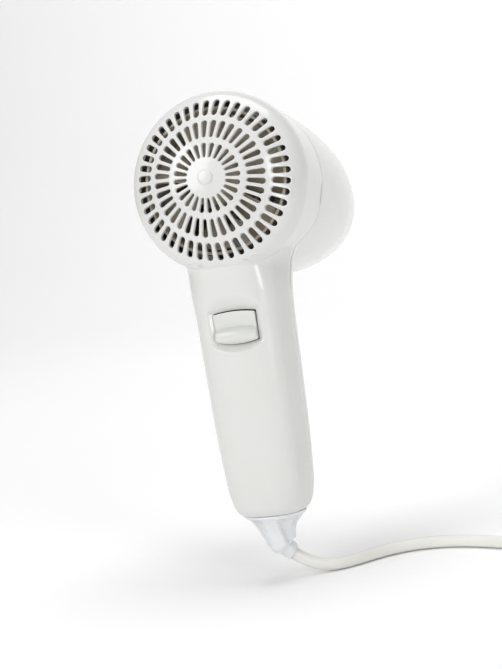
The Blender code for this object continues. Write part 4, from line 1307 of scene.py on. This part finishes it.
def row_heights(side, top):
    """Heights of the straight rows, closer together at the foot and round the switch."""
    rows = [FOOT, FOOT + 0.0003, FOOT + 0.0008]
    rows += list(np.arange(FOOT + 0.0016, -0.046, 0.0012)) + list(np.arange(-0.046, 0.016, 0.0030))
    if side < 0:
        low, high = SWITCH_HEIGHT + ROCKER_BOTTOM - WINDOW_GAP, SWITCH_HEIGHT + ROCKER_TOP + WINDOW_GAP
        lines = [low - d for d in EDGE_LINES] + [high + d for d in EDGE_LINES]
        fine = [z for z in np.arange(0.016, top, 0.0006) if all(abs(z - e) > 0.00035 for e in lines)]
        rows += fine + lines
    else:
        rows += list(np.arange(0.016, top, 0.0020))
    return sorted(rows) + [top]


def meeting_height(angle, side):
    """The height at which a column runs into the head."""
    low, high = 0.045, 0.0779
    for _ in range(26):
        middle = (low + high) / 2
        if above_head(side_point(angle, middle, side)) > 0:
            low = middle
        else:
            high = middle
    return low


def on_head(point):
    """The point moved up or down until it lies just under the head's surface."""
    low, high = point.z - 0.012, point.z + 0.014
    for _ in range(26):
        middle = (low + high) / 2
        if above_head((point.x, point.y, middle)) > -BURIED:
            low = middle
        else:
            high = middle
    return Vector((point.x, point.y, low))


def outward(angle, height, side):
    """The section's outward direction at a column, level."""
    step = 0.02
    before = side_point(max(0.0, angle - step), height, side)
    after = side_point(min(math.pi, angle + step), height, side)
    along = after - before
    normal = Vector((along.y, -along.x, 0.0)) * (1 if side > 0 else -1)
    return normal.normalized()


def fillet(angle, side, top):
    """The rows of a column above its straight part: up to the fillet's start, then along its curve."""
    meet = meeting_height(angle, side)
    facing = outward(angle, meet, side)
    forward = max(0.0, side * facing.y) ** 1.5
    reach = FILLET_SIDE + ((FILLET_REAR if side < 0 else FILLET_FRONT) - FILLET_SIDE) * forward
    start = meet - reach
    rows = []
    for share in (0.34, 0.67, 1.0):
        rows.append(side_point(angle, top + (start - top) * share, side))
    corner = side_point(angle, meet, side)
    landing = on_head(corner + facing * reach * 0.85)
    if landing.z > corner.z + 1.3 * reach:
        landing = on_head(corner + facing * reach * 0.35)
    for i in range(1, FILLET_STEPS + 1):
        t = i / FILLET_STEPS
        rows.append((1 - t) ** 2 * rows[2] + 2 * t * (1 - t) * corner + t * t * landing)
    half_width, rear, front = handle_size(top)
    level_share = max(0.0, 1 - abs(side_point(angle, top, side).y) / (rear if side < 0 else front))
    for i, row in enumerate(rows):
        drift = DRIFT_END * float(ease((row.z - top) / (landing.z - top))) * level_share
        row.y += drift
        if i > 5:
            rows[i] = on_head(row) if i == len(rows) - 1 else row
    return rows


def handle_skin(side, top):
    """Outer points of one half as rows of columns, before the edges are rounded over."""
    angles = column_angles(side)
    grid = [[side_point(a, z, side) for a in angles] for z in row_heights(side, top)]
    ends = [fillet(a, side, top) for a in angles]
    for k in range(len(ends[0])):
        grid.append([column[k] for column in ends])
    return grid


def warp_to_window(grid):
    """Slides points up or down so that the rows beside the window follow its arched edges."""
    straight = window_edges(0.0)
    for row in grid:
        for point in row:
            if abs(point.x) > 0.019 or not 0.015 < point.z < 0.050:
                continue
            fade = 1.0 - float(ease((abs(point.x) - 0.013) / 0.006))
            curved = window_edges(min(abs(point.x), 0.0135))
            near_low = max(0.0, 1 - abs(point.z - straight[0]) / 0.006)
            near_high = max(0.0, 1 - abs(point.z - straight[1]) / 0.005)
            point.z += fade * ((curved[0] - straight[0]) * near_low + (curved[1] - straight[1]) * near_high)


# %% [markdown]
# The shell gets its thickness by offsetting every point inward along the surface, and wherever the
# kept cells end, at the seam, the foot, the top and the window, a strip joins outside and inside.

# %% Handle shells
def grid_normals(grid):
    """Outward unit normals of a grid of points."""
    points = np.array([[tuple(p) for p in row] for row in grid])
    up = np.gradient(points, axis=0)
    round_it = np.gradient(points, axis=1)
    normal = np.cross(round_it, up)
    normal /= np.maximum(np.linalg.norm(normal, axis=2, keepdims=True), 1e-12)
    middle = points.mean(axis=1, keepdims=True)
    outside = np.sign(((points - middle)[:, :, :2] * normal[:, :, :2]).sum(axis=2, keepdims=True).mean())
    return points, normal * outside


def shell_from(points, normals, drops, keep, wall):
    """A closed shell: an outer grid lowered by drops, an inner grid a wall below, and edges between."""
    bm = bmesh.new()
    count_rows, count_columns = keep.shape
    outer_points = points - normals * drops[:, :, None]
    inner_points = points - normals * wall
    outer = [[bm.verts.new(p) for p in row] for row in outer_points]
    inner = [[bm.verts.new(p) for p in row] for row in inner_points]

    def kept(i, j):
        return 0 <= i < count_rows and 0 <= j < count_columns and keep[i, j]

    for i in range(count_rows):
        for j in range(count_columns):
            if not keep[i, j]:
                continue
            corners = ((i, j), (i, j + 1), (i + 1, j + 1), (i + 1, j))
            bm.faces.new([outer[a][b] for a, b in corners])
            bm.faces.new([inner[a][b] for a, b in reversed(corners)])
            neighbours = ((i - 1, j), (i, j + 1), (i + 1, j), (i, j - 1))
            for n, cell in enumerate(neighbours):
                if kept(*cell):
                    continue
                (a, b), (c, d) = corners[n], corners[(n + 1) % 4]
                bm.faces.new((outer[a][b], inner[a][b], inner[c][d], outer[c][d]))
    loose = [v for v in bm.verts if not v.link_faces]
    bmesh.ops.delete(bm, geom=loose, context="VERTS")
    return bm


def make_handle_half(side, top):
    grid = handle_skin(side, top)
    if side < 0:
        warp_to_window(grid)
        grid = [[pressed(p) for p in row] for row in grid]
    points, normals = grid_normals(grid)
    keep = np.ones((len(grid) - 1, len(grid[0]) - 1), bool)
    drops = np.zeros(points.shape[:2])
    edge = ROCKER_HALF_WIDTH + WINDOW_SIDE_GAP
    reference = [side_point(a, SWITCH_HEIGHT, side) for a in column_angles(side)]
    flat_rows = [row[len(row) // 2].z for row in handle_skin(side, top)]
    low, high = window_edges(0.0)
    for i, height in enumerate(flat_rows):
        for j, spot in enumerate(reference):
            seam = abs(abs(spot.y) - GAP / 2)
            drops[i, j] = rounding(seam)
            if side < 0:
                away = math.hypot(
                    max(0.0, abs(spot.x) - edge), max(0.0, low - height, height - high)
                )
                drops[i, j] = max(drops[i, j], rounding(away))
    if side < 0:
        for i in range(keep.shape[0]):
            for j in range(keep.shape[1]):
                across = (reference[j].x + reference[j + 1].x) / 2
                up = (flat_rows[i] + flat_rows[i + 1]) / 2
                keep[i, j] = not (abs(across) < edge and low < up < high)
    return shell_from(points, normals, drops, keep, HANDLE_WALL)


REAR_TOP = 0.0500
FRONT_TOP = 0.0440
rear_shell = add_piece("rear_shell", gathered([rear_head, make_handle_half(-1, REAR_TOP)]), sharp_degrees=38)
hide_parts("rear_housing")
dress(rear_shell, housing_white)
print("rear shell:", len(rear_shell.data.polygons), "faces")

# %% [markdown]
# ## The front moulding
# The barrel and the front half of the handle are one moulding too. The barrel is turned with a fine
# step, its rear edge follows the seam, and its outlet has a rounded lip. Two sunk holes in the front of
# the handle take the screws that hold the halves together, so each is cut through the skin and gets a
# turned cup behind it.

# %% Barrel
BARREL_SEGMENTS = 176


def make_barrel():
    bm = bmesh.new()
    outer = barrel_points(44)
    shares = [k / 44 for k in range(45)]

    def from_seam(angle, distance):
        return seam_height(angle) + GAP / 2 + distance

    def outer_radius(height):
        if height < PARTING:
            return band_radius(height)
        return float(np.interp(height, [p[1] for p in outer], [p[0] for p in outer]))

    rows = []
    for degrees in (90, 60, 30, 0):
        turn = math.radians(degrees)
        ahead = EDGE_ROUND * (1 - math.sin(turn))
        drop = EDGE_ROUND * (1 - math.cos(turn))
        rows.append((lambda h, d=drop: outer_radius(h) - d, lambda a, s=ahead: from_seam(a, s)))
    for share in (0.15, 0.35, 0.6, 0.85):
        rows.append((outer_radius, lambda a, s=share: from_seam(a, (0.0500 - from_seam(a, 0.0)) * s)))
    rows += [(radius, height) for radius, height in outer if 0.0500 < height < BARREL_LENGTH - LIP_ROUND]
    lip = (OUTLET_RADIUS - LIP_ROUND, BARREL_LENGTH - LIP_ROUND)
    rows += arc(lip, LIP_ROUND, 0, 90, 5)
    inner_edge = OUTLET_RADIUS - WALL - 0.0012
    rows += [(inner_edge + 0.0005, BARREL_LENGTH), (inner_edge, BARREL_LENGTH - 0.0005)]
    rows += [(radius - WALL, height) for radius, height in outer[::-4] if height < BARREL_LENGTH - 0.004]
    rows.append((lambda h: outer_radius(h) - WALL, lambda a: from_seam(a, 0.0)))
    turns = [2 * math.pi * i / BARREL_SEGMENTS for i in range(BARREL_SEGMENTS)]
    pattern = [bm.verts.new((math.cos(turn), math.sin(turn), 0.0)) for turn in turns]
    pattern = by_angle(pattern)
    circles = [add_circle(bm, pattern, radius, height) for radius, height in rows]
    for first, second in zip(circles, circles[1:] + circles[:1]):
        join_circles(bm, first, second)
    bmesh.ops.delete(bm, geom=pattern, context="VERTS")
    return moved(bm, head)


# %% [markdown]
# ## The screw holes
# A screw's hole in a moulded shell is a short stepped well with a broken edge. A Boolean modifier cuts
# it here, because the skin of the handle is one fine grid and the hole crosses its faces. The cutter is
# turned from a profile that widens at the surface, so the edge of the hole comes out chamfered. The cup
# behind it is turned on its own, and joins the same mesh as the handle and the barrel.

# %% Screw holes and the front shell
SCREW_HEIGHTS = tuple(sum(c.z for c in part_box(f"housing_screw_{k}")) / 2 for k in ("upper", "lower"))
SCREW_HOLE = 0.0031
SCREW_WALL = 0.0046
SEAT_DEPTH = 0.0050


def cut_hole(piece, tool):
    """Cuts a turned tool from the piece's mesh and drops the tool."""
    mesh = bpy.data.meshes.new("tool")
    bmesh.ops.recalc_face_normals(tool, faces=tool.faces)
    tool.to_mesh(mesh)
    tool.free()
    cutter = bpy.data.objects.new("tool", mesh)
    bpy.context.scene.collection.objects.link(cutter)
    step = piece.modifiers.new("hole", "BOOLEAN")
    step.operation = "DIFFERENCE"
    step.solver = "EXACT"
    step.object = cutter
    bpy.context.view_layer.update()
    result = bpy.data.meshes.new_from_object(piece.evaluated_get(bpy.context.evaluated_depsgraph_get()))
    piece.modifiers.clear()
    piece.data = result
    bpy.data.objects.remove(cutter)


def forward(height):
    """A frame whose Z points out of the handle's front at a height, with its origin on the surface."""
    return Matrix.Translation((0.0, handle_size(height)[2], height)) @ Matrix.Rotation(-math.pi / 2, 4, "X")


def make_front_shell():
    grip = add_piece("grip_front", make_handle_half(1, FRONT_TOP), sharp_degrees=38)
    cups = []
    for height in SCREW_HEIGHTS:
        tool = turned(
            [
                (0.0, -SEAT_DEPTH - 0.004),
                (SCREW_HOLE, -SEAT_DEPTH - 0.004),
                (SCREW_HOLE, -0.0007),
                (SCREW_HOLE + 0.0003, -0.0002),
                (SCREW_HOLE + 0.0009, 0.0010),
                (0.0, 0.0010),
            ],
            48,
        )
        cut_hole(grip, moved(tool, forward(height)))
        cup = [
            (SCREW_HOLE, -0.0016),
            (SCREW_HOLE, -SEAT_DEPTH),
            (0.0016, -SEAT_DEPTH),
            (0.0016, -SEAT_DEPTH - 0.0012),
            (SCREW_WALL, -SEAT_DEPTH - 0.0012),
            (SCREW_WALL, -0.0016),
        ]
        cups.append(moved(turned(cup, 48), forward(height)))
    whole = bmesh.new()
    whole.from_mesh(grip.data)
    bpy.data.objects.remove(grip)
    shell = add_piece("front_shell", gathered([whole, make_barrel(), *cups]), sharp_degrees=38)
    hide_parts("front_housing")
    dress(shell, housing_white)
    return shell


front_shell = make_front_shell()
print("front shell:", len(front_shell.data.polygons), "faces")

# %% [markdown]
# ## The rocker
# The rocker is a flat plate with one low ridge for the thumb, just below its middle. The ridge is highest
# in the middle and dies out towards the sides, so its borders read as two arcs. The face is a height
# field over a fine grid; a ring of points steps down over a rounded edge and narrows to the back, which
# leaves room for the plate to tip either way.

# %% Rocker
FACE_TOP = -0.0187
FACE_ROOT = -0.0176
FACE_FOOT = -0.0185
RIDGE_HEIGHT = -0.0038
RIDGE_HALF = 0.0043
RIDGE_CREST = -0.0216
FACE_BLEND = 0.00025
ROCKER_BACK = -0.0136


def face_depth(x, up):
    """The face's Y at a place, with up measured from the middle of the switch."""
    across = x / ROCKER_HALF_WIDTH
    if up > RIDGE_HEIGHT:
        share = min(1.0, (up - RIDGE_HEIGHT) / (ROCKER_TOP - RIDGE_HEIGHT))
        plain = FACE_ROOT + (FACE_TOP - FACE_ROOT) * share
    else:
        share = (RIDGE_HEIGHT - up) / (RIDGE_HEIGHT - ROCKER_BOTTOM)
        plain = FACE_ROOT + (FACE_FOOT - FACE_ROOT) * share
    half = RIDGE_HALF * math.sqrt(max(0.0, 1 - (0.72 * across) ** 2))
    crest = RIDGE_CREST + 0.0014 * across * across
    offset = (up - RIDGE_HEIGHT) / half
    if abs(offset) >= 1:
        return plain
    ridge = FACE_ROOT + 0.0002 - (FACE_ROOT + 0.0002 - crest) * math.sqrt(1 - offset * offset)
    difference = (plain - ridge) / FACE_BLEND
    return ridge - math.log1p(math.exp(-min(30.0, max(-30.0, difference)))) * FACE_BLEND


def rocker_ends(x):
    """The plate's lower and upper edge at a place across it, both slightly arched."""
    share = (x / ROCKER_HALF_WIDTH) ** 2
    return ROCKER_BOTTOM + BOTTOM_ARCH * share, ROCKER_TOP - TOP_ARCH * share


def spread(count):
    """Shares from 0 to 1 that lie closer together at both ends."""
    return [(1 - math.cos(math.pi * i / count)) / 2 for i in range(count + 1)]


def make_rocker():
    columns, rows = 48, 64
    bm = bmesh.new()
    grid = []
    for v in spread(rows):
        row = []
        for u in spread(columns):
            x = ROCKER_HALF_WIDTH * (2 * u - 1)
            low, high = rocker_ends(x)
            up = low + (high - low) * v
            edge = min(ROCKER_HALF_WIDTH - abs(x), up - low, high - up)
            row.append(bm.verts.new((x, face_depth(x, up) + rounding(max(0.0, edge)), SWITCH_HEIGHT + up)))
        grid.append(row)
    for i in range(rows):
        for j in range(columns):
            bm.faces.new((grid[i][j], grid[i][j + 1], grid[i + 1][j + 1], grid[i + 1][j]))
    border = grid[0][:-1] + [row[-1] for row in grid[:-1]] + grid[-1][:0:-1] + [row[0] for row in grid[:0:-1]]
    middle = Vector((0.0, 0.0, SWITCH_HEIGHT))
    skirt = ((-0.0174, 0.996, 0.960), (-0.0160, 0.993, 0.935), (ROCKER_BACK, 0.985, 0.80))
    for depth, width, height in skirt:
        ring = []
        for v in border:
            away = v.co - middle
            ring.append(bm.verts.new((away.x * width, depth, SWITCH_HEIGHT + away.z * height)))
        for k in range(len(border)):
            m = (k + 1) % len(border)
            bm.faces.new((border[k], border[m], ring[m], ring[k]))
        border = ring
    bm.faces.new(border)
    return bm


rocker_cap = add_piece("rocker_cap", make_rocker(), body=ROCKER, sharp_degrees=40)
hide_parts("rocker")
dress(rocker_cap, rocker_white)
print("rocker:", len(rocker_cap.data.polygons), "faces")

# %% [markdown]
# ## The strain relief
# The foot of the handle is closed by a hard white flange that narrows like the hull of a boat to a short
# collar. Its flanks are cored out, as on most moulded reliefs, which leaves a rib in the middle of each
# face and a bright edge where the pocket begins. The collar leans over in the direction the cord leaves.

# %% Strain relief
RELIEF_STATIONS = (
    # height, half width, half depth, sideways shift, share of the cord's lean
    (-0.0565, 0.0130, 0.0110, 0.0, 0.0),
    (-0.0614, 0.0130, 0.0110, 0.0, 0.0),
    (-0.0615, 0.0110, 0.0095, 0.0, 0.0),
    (-0.0642, 0.0110, 0.0095, 0.0, 0.0),
    (-0.0643, 0.0163, 0.0137, 0.0, 0.0),
    (-0.0646, 0.0166, 0.0140, 0.0, 0.0),
    (-0.0654, 0.0165, 0.0139, 0.0, 0.0),
    (-0.0660, 0.0158, 0.0132, 0.0, 0.0),
    (-0.0690, 0.0126, 0.0108, 0.0, 0.0),
    (-0.0725, 0.0101, 0.0090, 0.0001, 0.05),
    (-0.0765, 0.0087, 0.0078, 0.0007, 0.20),
    (-0.0800, 0.0078, 0.0070, 0.0016, 0.40),
    (-0.0822, 0.0068, 0.0063, 0.0025, 0.60),
    (-0.0830, 0.0056, 0.0054, 0.0029, 0.75),
    (-0.0834, 0.0046, 0.0046, 0.0033, 0.90),
    (-0.0862, 0.0045, 0.0045, 0.0059, 1.0),
    (-0.0868, 0.0041, 0.0041, 0.0062, 1.0),
)
RELIEF_ROUND = 112
CORING = 0.40
CORD_LEAN = Vector((0.729, 0.195, -0.656))
relief_table = np.array(RELIEF_STATIONS)


def relief_rows():
    """The stations and, below the flange, closer rows between them on a smooth curve."""
    rows = [relief_table[k] for k in range(7)]
    slopes = np.gradient(relief_table[7:14], relief_table[7:14, 0], axis=0)
    for k in range(7, 13):
        step = relief_table[k + 1, 0] - relief_table[k, 0]
        for i in range(6):
            t = i / 6
            shape = ((1 + 2 * t) * (1 - t) ** 2, t * (1 - t) ** 2, t * t * (3 - 2 * t), t * t * (t - 1))
            ends = (relief_table[k], slopes[k - 7] * step, relief_table[k + 1], slopes[k - 6] * step)
            rows.append(sum(s * e for s, e in zip(shape, ends)))
    return rows + [relief_table[k] for k in range(13, len(relief_table))]


def make_relief():
    lean = Vector((0.0, 0.0, -1.0)).rotation_difference(CORD_LEAN.normalized())
    level = lean.__class__((1.0, 0.0, 0.0, 0.0))
    sections = []
    for height, half_width, half_depth, shift, share in relief_rows():
        turn = level.slerp(lean, max(0.0, min(1.0, share)))
        centre = Vector((shift, shift * 0.16, height))
        depth = float(ease((-0.0662 - height) / 0.0022)) * float(ease((height + 0.0836) / 0.0035))
        section = []
        for x, y in superellipse(half_width, half_depth, 2.0, RELIEF_ROUND):
            flank = float(ease((abs(x) - 0.0036) / 0.0011)) * float(ease((abs(y) - 0.0020) / 0.0012))
            cut = 1.0 - CORING * depth * flank
            narrowed = 1.0 - 0.25 * CORING * depth * flank
            section.append(tuple(centre + turn @ Vector((x * narrowed, y * cut, 0.0))))
        sections.append(section)
    return skinned(sections)


relief = add_piece("relief_boot", make_relief(), sharp_degrees=42)
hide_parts("strain_relief")
dress(relief, relief_white)
print("strain relief:", len(relief.data.polygons), "faces")

# %% [markdown]
# ## The fan
# Seven broad blades twist from steep at the hub to flatter at the tip, because the tip moves faster.
# Each blade is a thin lens in section, with rounded edges, lofted through stations along its radius; a
# turned hub with a soft nose carries them. This is what shows through the slots, so it is modelled finely.

# %% Fan
FAN_BLADES = 7
FAN_HUB = 0.0110
FAN_TIP = 0.0335
FAN_REAR = 0.0060
FAN_FRONT = 0.0230
BLADE_THICKNESS = 0.0011
BLADE_PITCHES = (56.0, 31.0)
BLADE_CHORDS = (0.0145, 0.0270)
BLADE_CAMBER = 0.0012
SHAFT_CLEAR = 0.0012


def blade_section(share):
    """The closed outline of a blade at a share of its length from the hub."""
    radius = FAN_HUB * 0.90 + (FAN_TIP - FAN_HUB * 0.90) * share
    pitch = math.radians(BLADE_PITCHES[0] + (BLADE_PITCHES[1] - BLADE_PITCHES[0]) * share)
    chord = BLADE_CHORDS[0] + (BLADE_CHORDS[1] - BLADE_CHORDS[0]) * share
    along = Vector((0.0, math.cos(pitch), math.sin(pitch)))
    across = Vector((0.0, -math.sin(pitch), math.cos(pitch)))
    centre = Vector((radius, 0.0, (FAN_REAR + FAN_FRONT) / 2 + 0.0006))
    outline = []
    for i in range(28):
        angle = 2 * math.pi * i / 28
        u, v = math.cos(angle), math.sin(angle)
        camber = BLADE_CAMBER * (1 - u * u)
        rise = BLADE_THICKNESS / 2 * math.copysign(abs(v) ** 0.6, v) + camber
        spot = centre + along * (chord / 2 * u) + across * rise
        spot.x = math.sqrt(max(1e-8, radius * radius - min(spot.y**2, 0.9 * radius * radius)))
        outline.append(tuple(spot))
    return outline


def make_fan():
    hub = turned(
        [
            (SHAFT_CLEAR, FAN_REAR),
            (FAN_HUB * 0.42, FAN_REAR),
            *arc((FAN_HUB * 0.42, FAN_REAR + 0.0058), 0.0058, -75, 0, 6),
            (FAN_HUB * 0.955, FAN_REAR + 0.0064),
            *arc((FAN_HUB - 0.0010, FAN_REAR + 0.0078), 0.0010, -70, 0, 4),
            (FAN_HUB, FAN_FRONT - 0.0003),
            (FAN_HUB - 0.0003, FAN_FRONT),
            (SHAFT_CLEAR, FAN_FRONT),
        ],
        72,
    )
    blades = []
    for i in range(FAN_BLADES):
        blade = skinned([blade_section(k / 10) for k in range(11)])
        blades.append(moved(blade, Matrix.Rotation(2 * math.pi * i / FAN_BLADES, 4, "Z")))
    return moved(gathered([hub, *blades]), head)


fan_wheel = add_piece("fan_wheel", make_fan(), body=ROTOR, sharp_degrees=45)
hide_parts("fan")
dress(fan_wheel, fan_taupe)
print("fan:", len(fan_wheel.data.polygons), "faces")

# %% [markdown]
# ## Outlet grille and heating wire
# The outlet is closed by a black grille of three rings on six spokes, a little inside the lip. Behind it
# two lengths of resistance wire are wound round the crossed mica boards. The wire itself is a tight
# little coil on a real element, which is why each winding is drawn as a fine coil along a helix.

# %% Outlet grille
GRILLE_LOW = 0.1375
GRILLE_HIGH = 0.1395
GRILLE_EDGE = OUTLET_RADIUS - WALL - 0.0012 - GAP
GRILLE_RINGS = (0.0070, 0.0145, 0.0220)
GRILLE_SPOKES = 6
RING_HALF = 0.0006
RING_SINK = 0.0003


def grille_ring(inside, outside, low, high, round_off=0.00025, segments=128):
    corners = ((inside, low, 180), (outside, low, 270), (outside, high, 0), (inside, high, 90))
    outline = []
    for radius, height, start in corners:
        inward = 1 if radius == inside else -1
        upward = 1 if height == low else -1
        centre = (radius + round_off * inward, height + round_off * upward)
        outline += arc(centre, round_off, start, start + 90, 3)
    return turned(outline, segments)


def make_grille():
    parts = [grille_ring(GRILLE_EDGE - 0.0016, GRILLE_EDGE, GRILLE_LOW, GRILLE_HIGH)]
    for radius in GRILLE_RINGS:
        low, high = GRILLE_LOW + RING_SINK, GRILLE_HIGH - RING_SINK
        parts.append(grille_ring(radius - RING_HALF, radius + RING_HALF, low, high))
    parts.append(
        turned(
            [(0.0, GRILLE_LOW + 0.0001), (0.0022, GRILLE_LOW + 0.0001), (0.0022, GRILLE_HIGH - 0.0004)]
            + arc((0.0018, GRILLE_HIGH - 0.0004), 0.0004, 20, 90, 3)
            + [(0.0, GRILLE_HIGH)],
            48,
        )
    )
    reach = GRILLE_EDGE - 0.0010
    for i in range(GRILLE_SPOKES):
        spoke = rounded_box((reach, 0.0013, 0.0015), 0.0002)
        place = Matrix.Translation((reach / 2, 0.0, (GRILLE_LOW + GRILLE_HIGH) / 2))
        parts.append(moved(spoke, Matrix.Rotation(2 * math.pi * i / GRILLE_SPOKES, 4, "Z") @ place))
    return moved(gathered(parts), head)


grille = add_piece("grille_black", make_grille(), sharp_degrees=40)
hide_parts("outlet_grille")
dress(grille, black_plastic)
print("outlet grille:", len(grille.data.polygons), "faces")

# %% [markdown]
# ## The heating wire
# Each element is a fine spring of resistance wire, wound in turns round the mica cross. It could be a
# curve with a bevel, but the export counts a mesh's triangles, so the wire is swept by hand here with
# four sides. The sweep's centre goes round a small circle while that circle goes round the large one.

# %% Heating wire
COIL_RADIUS = 0.0272
ELEMENT_TURNS = 5
ELEMENT_PITCH = 0.0050
ELEMENT_STARTS = {"element_low": 0.0710, "element_high": 0.1035}
SPRING_RADIUS = 0.00027
STRAND_RADIUS = 0.00012
SPRING_TURNS = 90


def element_point(angle, start):
    height = start + ELEMENT_PITCH * angle / (2 * math.pi)
    turn = angle + math.pi / 4
    return np.array((COIL_RADIUS * math.cos(turn), COIL_RADIUS * math.sin(turn), height))


def make_element(start):
    """A fine coil along the helix, swept with a four-sided section."""
    bm = bmesh.new()
    steps = ELEMENT_TURNS * SPRING_TURNS * 8
    rings = []
    for i in range(steps + 1):
        angle = 2 * math.pi * ELEMENT_TURNS * i / steps
        spin = 2 * math.pi * i / 8
        outward_way = np.array((math.cos(angle + math.pi / 4), math.sin(angle + math.pi / 4), 0.0))
        upward = np.array((0.0, 0.0, 1.0))
        side = outward_way * math.cos(spin) + upward * math.sin(spin)
        along = np.cross(upward, outward_way)
        centre = element_point(angle, start) + side * SPRING_RADIUS
        ring = []
        for k in range(4):
            corner = math.pi * k / 2
            offset = (side * math.cos(corner) + along * math.sin(corner)) * STRAND_RADIUS
            ring.append(bm.verts.new(tuple(centre + offset)))
        rings.append(ring)
    for first, second in zip(rings, rings[1:]):
        for k in range(4):
            bm.faces.new((first[k], first[(k + 1) % 4], second[(k + 1) % 4], second[k]))
    bm.faces.new(rings[0][::-1])
    bm.faces.new(rings[-1])
    return moved(bm, head)


for node, start in ELEMENT_STARTS.items():
    wire = add_piece(f"{node}_wire", make_element(start), sharp_degrees=60)
    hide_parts(node)
    dress(wire, nichrome)
    print(wire.name, len(wire.data.polygons), "faces")

# %% [markdown]
# ## The housing screws
# Two pan-head screws with cross recesses hold the halves of the handle together from the front.

# %% Screws
SCREW_HEAD = 0.0028
SCREW_SHANK = 0.0012
SCREW_LENGTH = 0.0240


def screw_thread():
    """Shank with a rolled thread: a turned outline of small teeth, which reads as a thread at this size."""
    points = [(0.0, -SCREW_LENGTH - 0.0016)]
    teeth = 22
    for i in range(teeth, 0, -1):
        height = -SCREW_LENGTH * i / teeth
        points += [(SCREW_SHANK - 0.0002, height), (SCREW_SHANK, height + 0.0004)]
    return points + [(SCREW_SHANK - 0.0002, -0.0003)]


def make_screw(height):
    outline = screw_thread() + [
        (SCREW_SHANK, 0.0),
        (SCREW_HEAD - 0.0001, 0.0),
        (SCREW_HEAD, 0.0002),
        (SCREW_HEAD, 0.0012),
        *arc((SCREW_HEAD - 0.0010, 0.0012), 0.0010, 15, 80, 4),
        (SCREW_HEAD * 0.55, 0.00235),
        (0.0, 0.0024),
    ]
    name = "screw_upper" if height == max(SCREW_HEIGHTS) else "screw_lower"
    seat = Matrix.Translation((0.0, handle_size(height)[2] - SEAT_DEPTH + GAP, height))
    place = seat @ Matrix.Rotation(-math.pi / 2, 4, "X")
    screw = add_piece(name, moved(turned(outline, 40), place), sharp_degrees=35)
    for size in ((0.0040, 0.0007, 0.0022), (0.0007, 0.0040, 0.0022)):
        recess = rounded_box(size, 0.0001, 1)
        cut_hole(screw, moved(recess, place @ Matrix.Translation((0.0, 0.0, 0.0024))))
    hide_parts(f"housing_{name}")
    dress(screw, steel)


for place in SCREW_HEIGHTS:
    make_screw(place)

# %% [markdown]
# ## Stage and light
# The dryer stands in front of a pale sweep that runs up behind it without a corner. One large soft light
# from the front left models the dome and the handle, a tall narrow one on the right draws a long glint
# down the gloss. Two more, one over the dryer and one behind it, light the ground and the wall of the
# sweep until they are brighter than the plastic.

# %% Stage
SWEEP_START = 1.4
SWEEP_RADIUS = 0.8
SWEEP_TOP = 3.5


def make_stage_finish():
    finish, tree, shader, place = start_material("stage_pale")
    melt = place_group(tree, moulding, place, Scale=3.0, Texture_Scale=900.0)
    tone = mix_colours(tree, melt.outputs["Mottle"], (0.93, 0.93, 0.93), (0.90, 0.90, 0.90))
    tree.links.new(tone, shader.inputs["Base Color"])
    rough = math_node(tree, "MULTIPLY_ADD", melt.outputs["Mottle"], 0.06)
    rough.node.inputs[2].default_value = 0.86
    tree.links.new(rough, shader.inputs["Roughness"])
    bump(tree, shader, melt.outputs["Height"], 0.02, 0.0002)
    return finish


def make_stage():
    ground = FLOOR - 0.0002
    bm = bmesh.new()
    profile = [(-3.0, ground), (SWEEP_START, ground)]
    for y, z in arc((SWEEP_START, ground + SWEEP_RADIUS), SWEEP_RADIUS, -85, 0, 17):
        profile.append((y, z))
    profile.append((SWEEP_START + SWEEP_RADIUS, SWEEP_TOP))
    rows = [[bm.verts.new((x, y, z)) for y, z in profile] for x in (-4.0, 4.0)]
    for i in range(len(profile) - 1):
        bm.faces.new((rows[0][i], rows[1][i], rows[1][i + 1], rows[0][i + 1]))
    mesh = bpy.data.meshes.new("sweep")
    bm.to_mesh(mesh)
    bm.free()
    mesh.shade_smooth()
    mesh.materials.append(make_stage_finish())
    sweep = bpy.data.objects.new("sweep", mesh)
    bpy.context.scene.collection.objects.link(sweep)


make_stage()


# %% [markdown]
# ## The lights
# Four area lights and a dim white world make the studio. An area light's size sets how soft its shadow
# is, and its power has to grow with the square of its distance. A helper turns each one to its target,
# so that a lamp can be moved without working out its angles again.

# %% Lights
def area_light(name, place, target, width, height, power):
    data = bpy.data.lights.new(name, "AREA")
    data.shape = "RECTANGLE"
    data.size = width
    data.size_y = height
    data.energy = power
    lamp = bpy.data.objects.new(name, data)
    lamp.location = place
    lamp.rotation_euler = (Vector(target) - Vector(place)).to_track_quat("-Z", "Y").to_euler()
    bpy.context.scene.collection.objects.link(lamp)
    return lamp


world = bpy.data.worlds.new("studio")
world.use_nodes = True
world.node_tree.nodes["Background"].inputs["Color"].default_value = (1.0, 1.0, 1.0, 1.0)
world.node_tree.nodes["Background"].inputs["Strength"].default_value = 0.36
bpy.context.scene.world = world
bpy.context.scene.view_settings.view_transform = "Standard"
area_light("key", (-0.80, -1.10, 0.75), (0.0, 0.0, 0.03), 0.9, 0.9, 10.5)
area_light("strip", (0.76, -0.86, 0.06), (0.0, 0.0, 0.02), 0.20, 1.3, 5.5)
area_light("wall", (0.0, 0.9, 1.5), (0.3, 2.2, 0.6), 2.2, 0.6, 13.0)
area_light("ground", (0.15, 0.15, 1.9), (0.15, 0.45, FLOOR), 1.6, 1.0, 19.0)
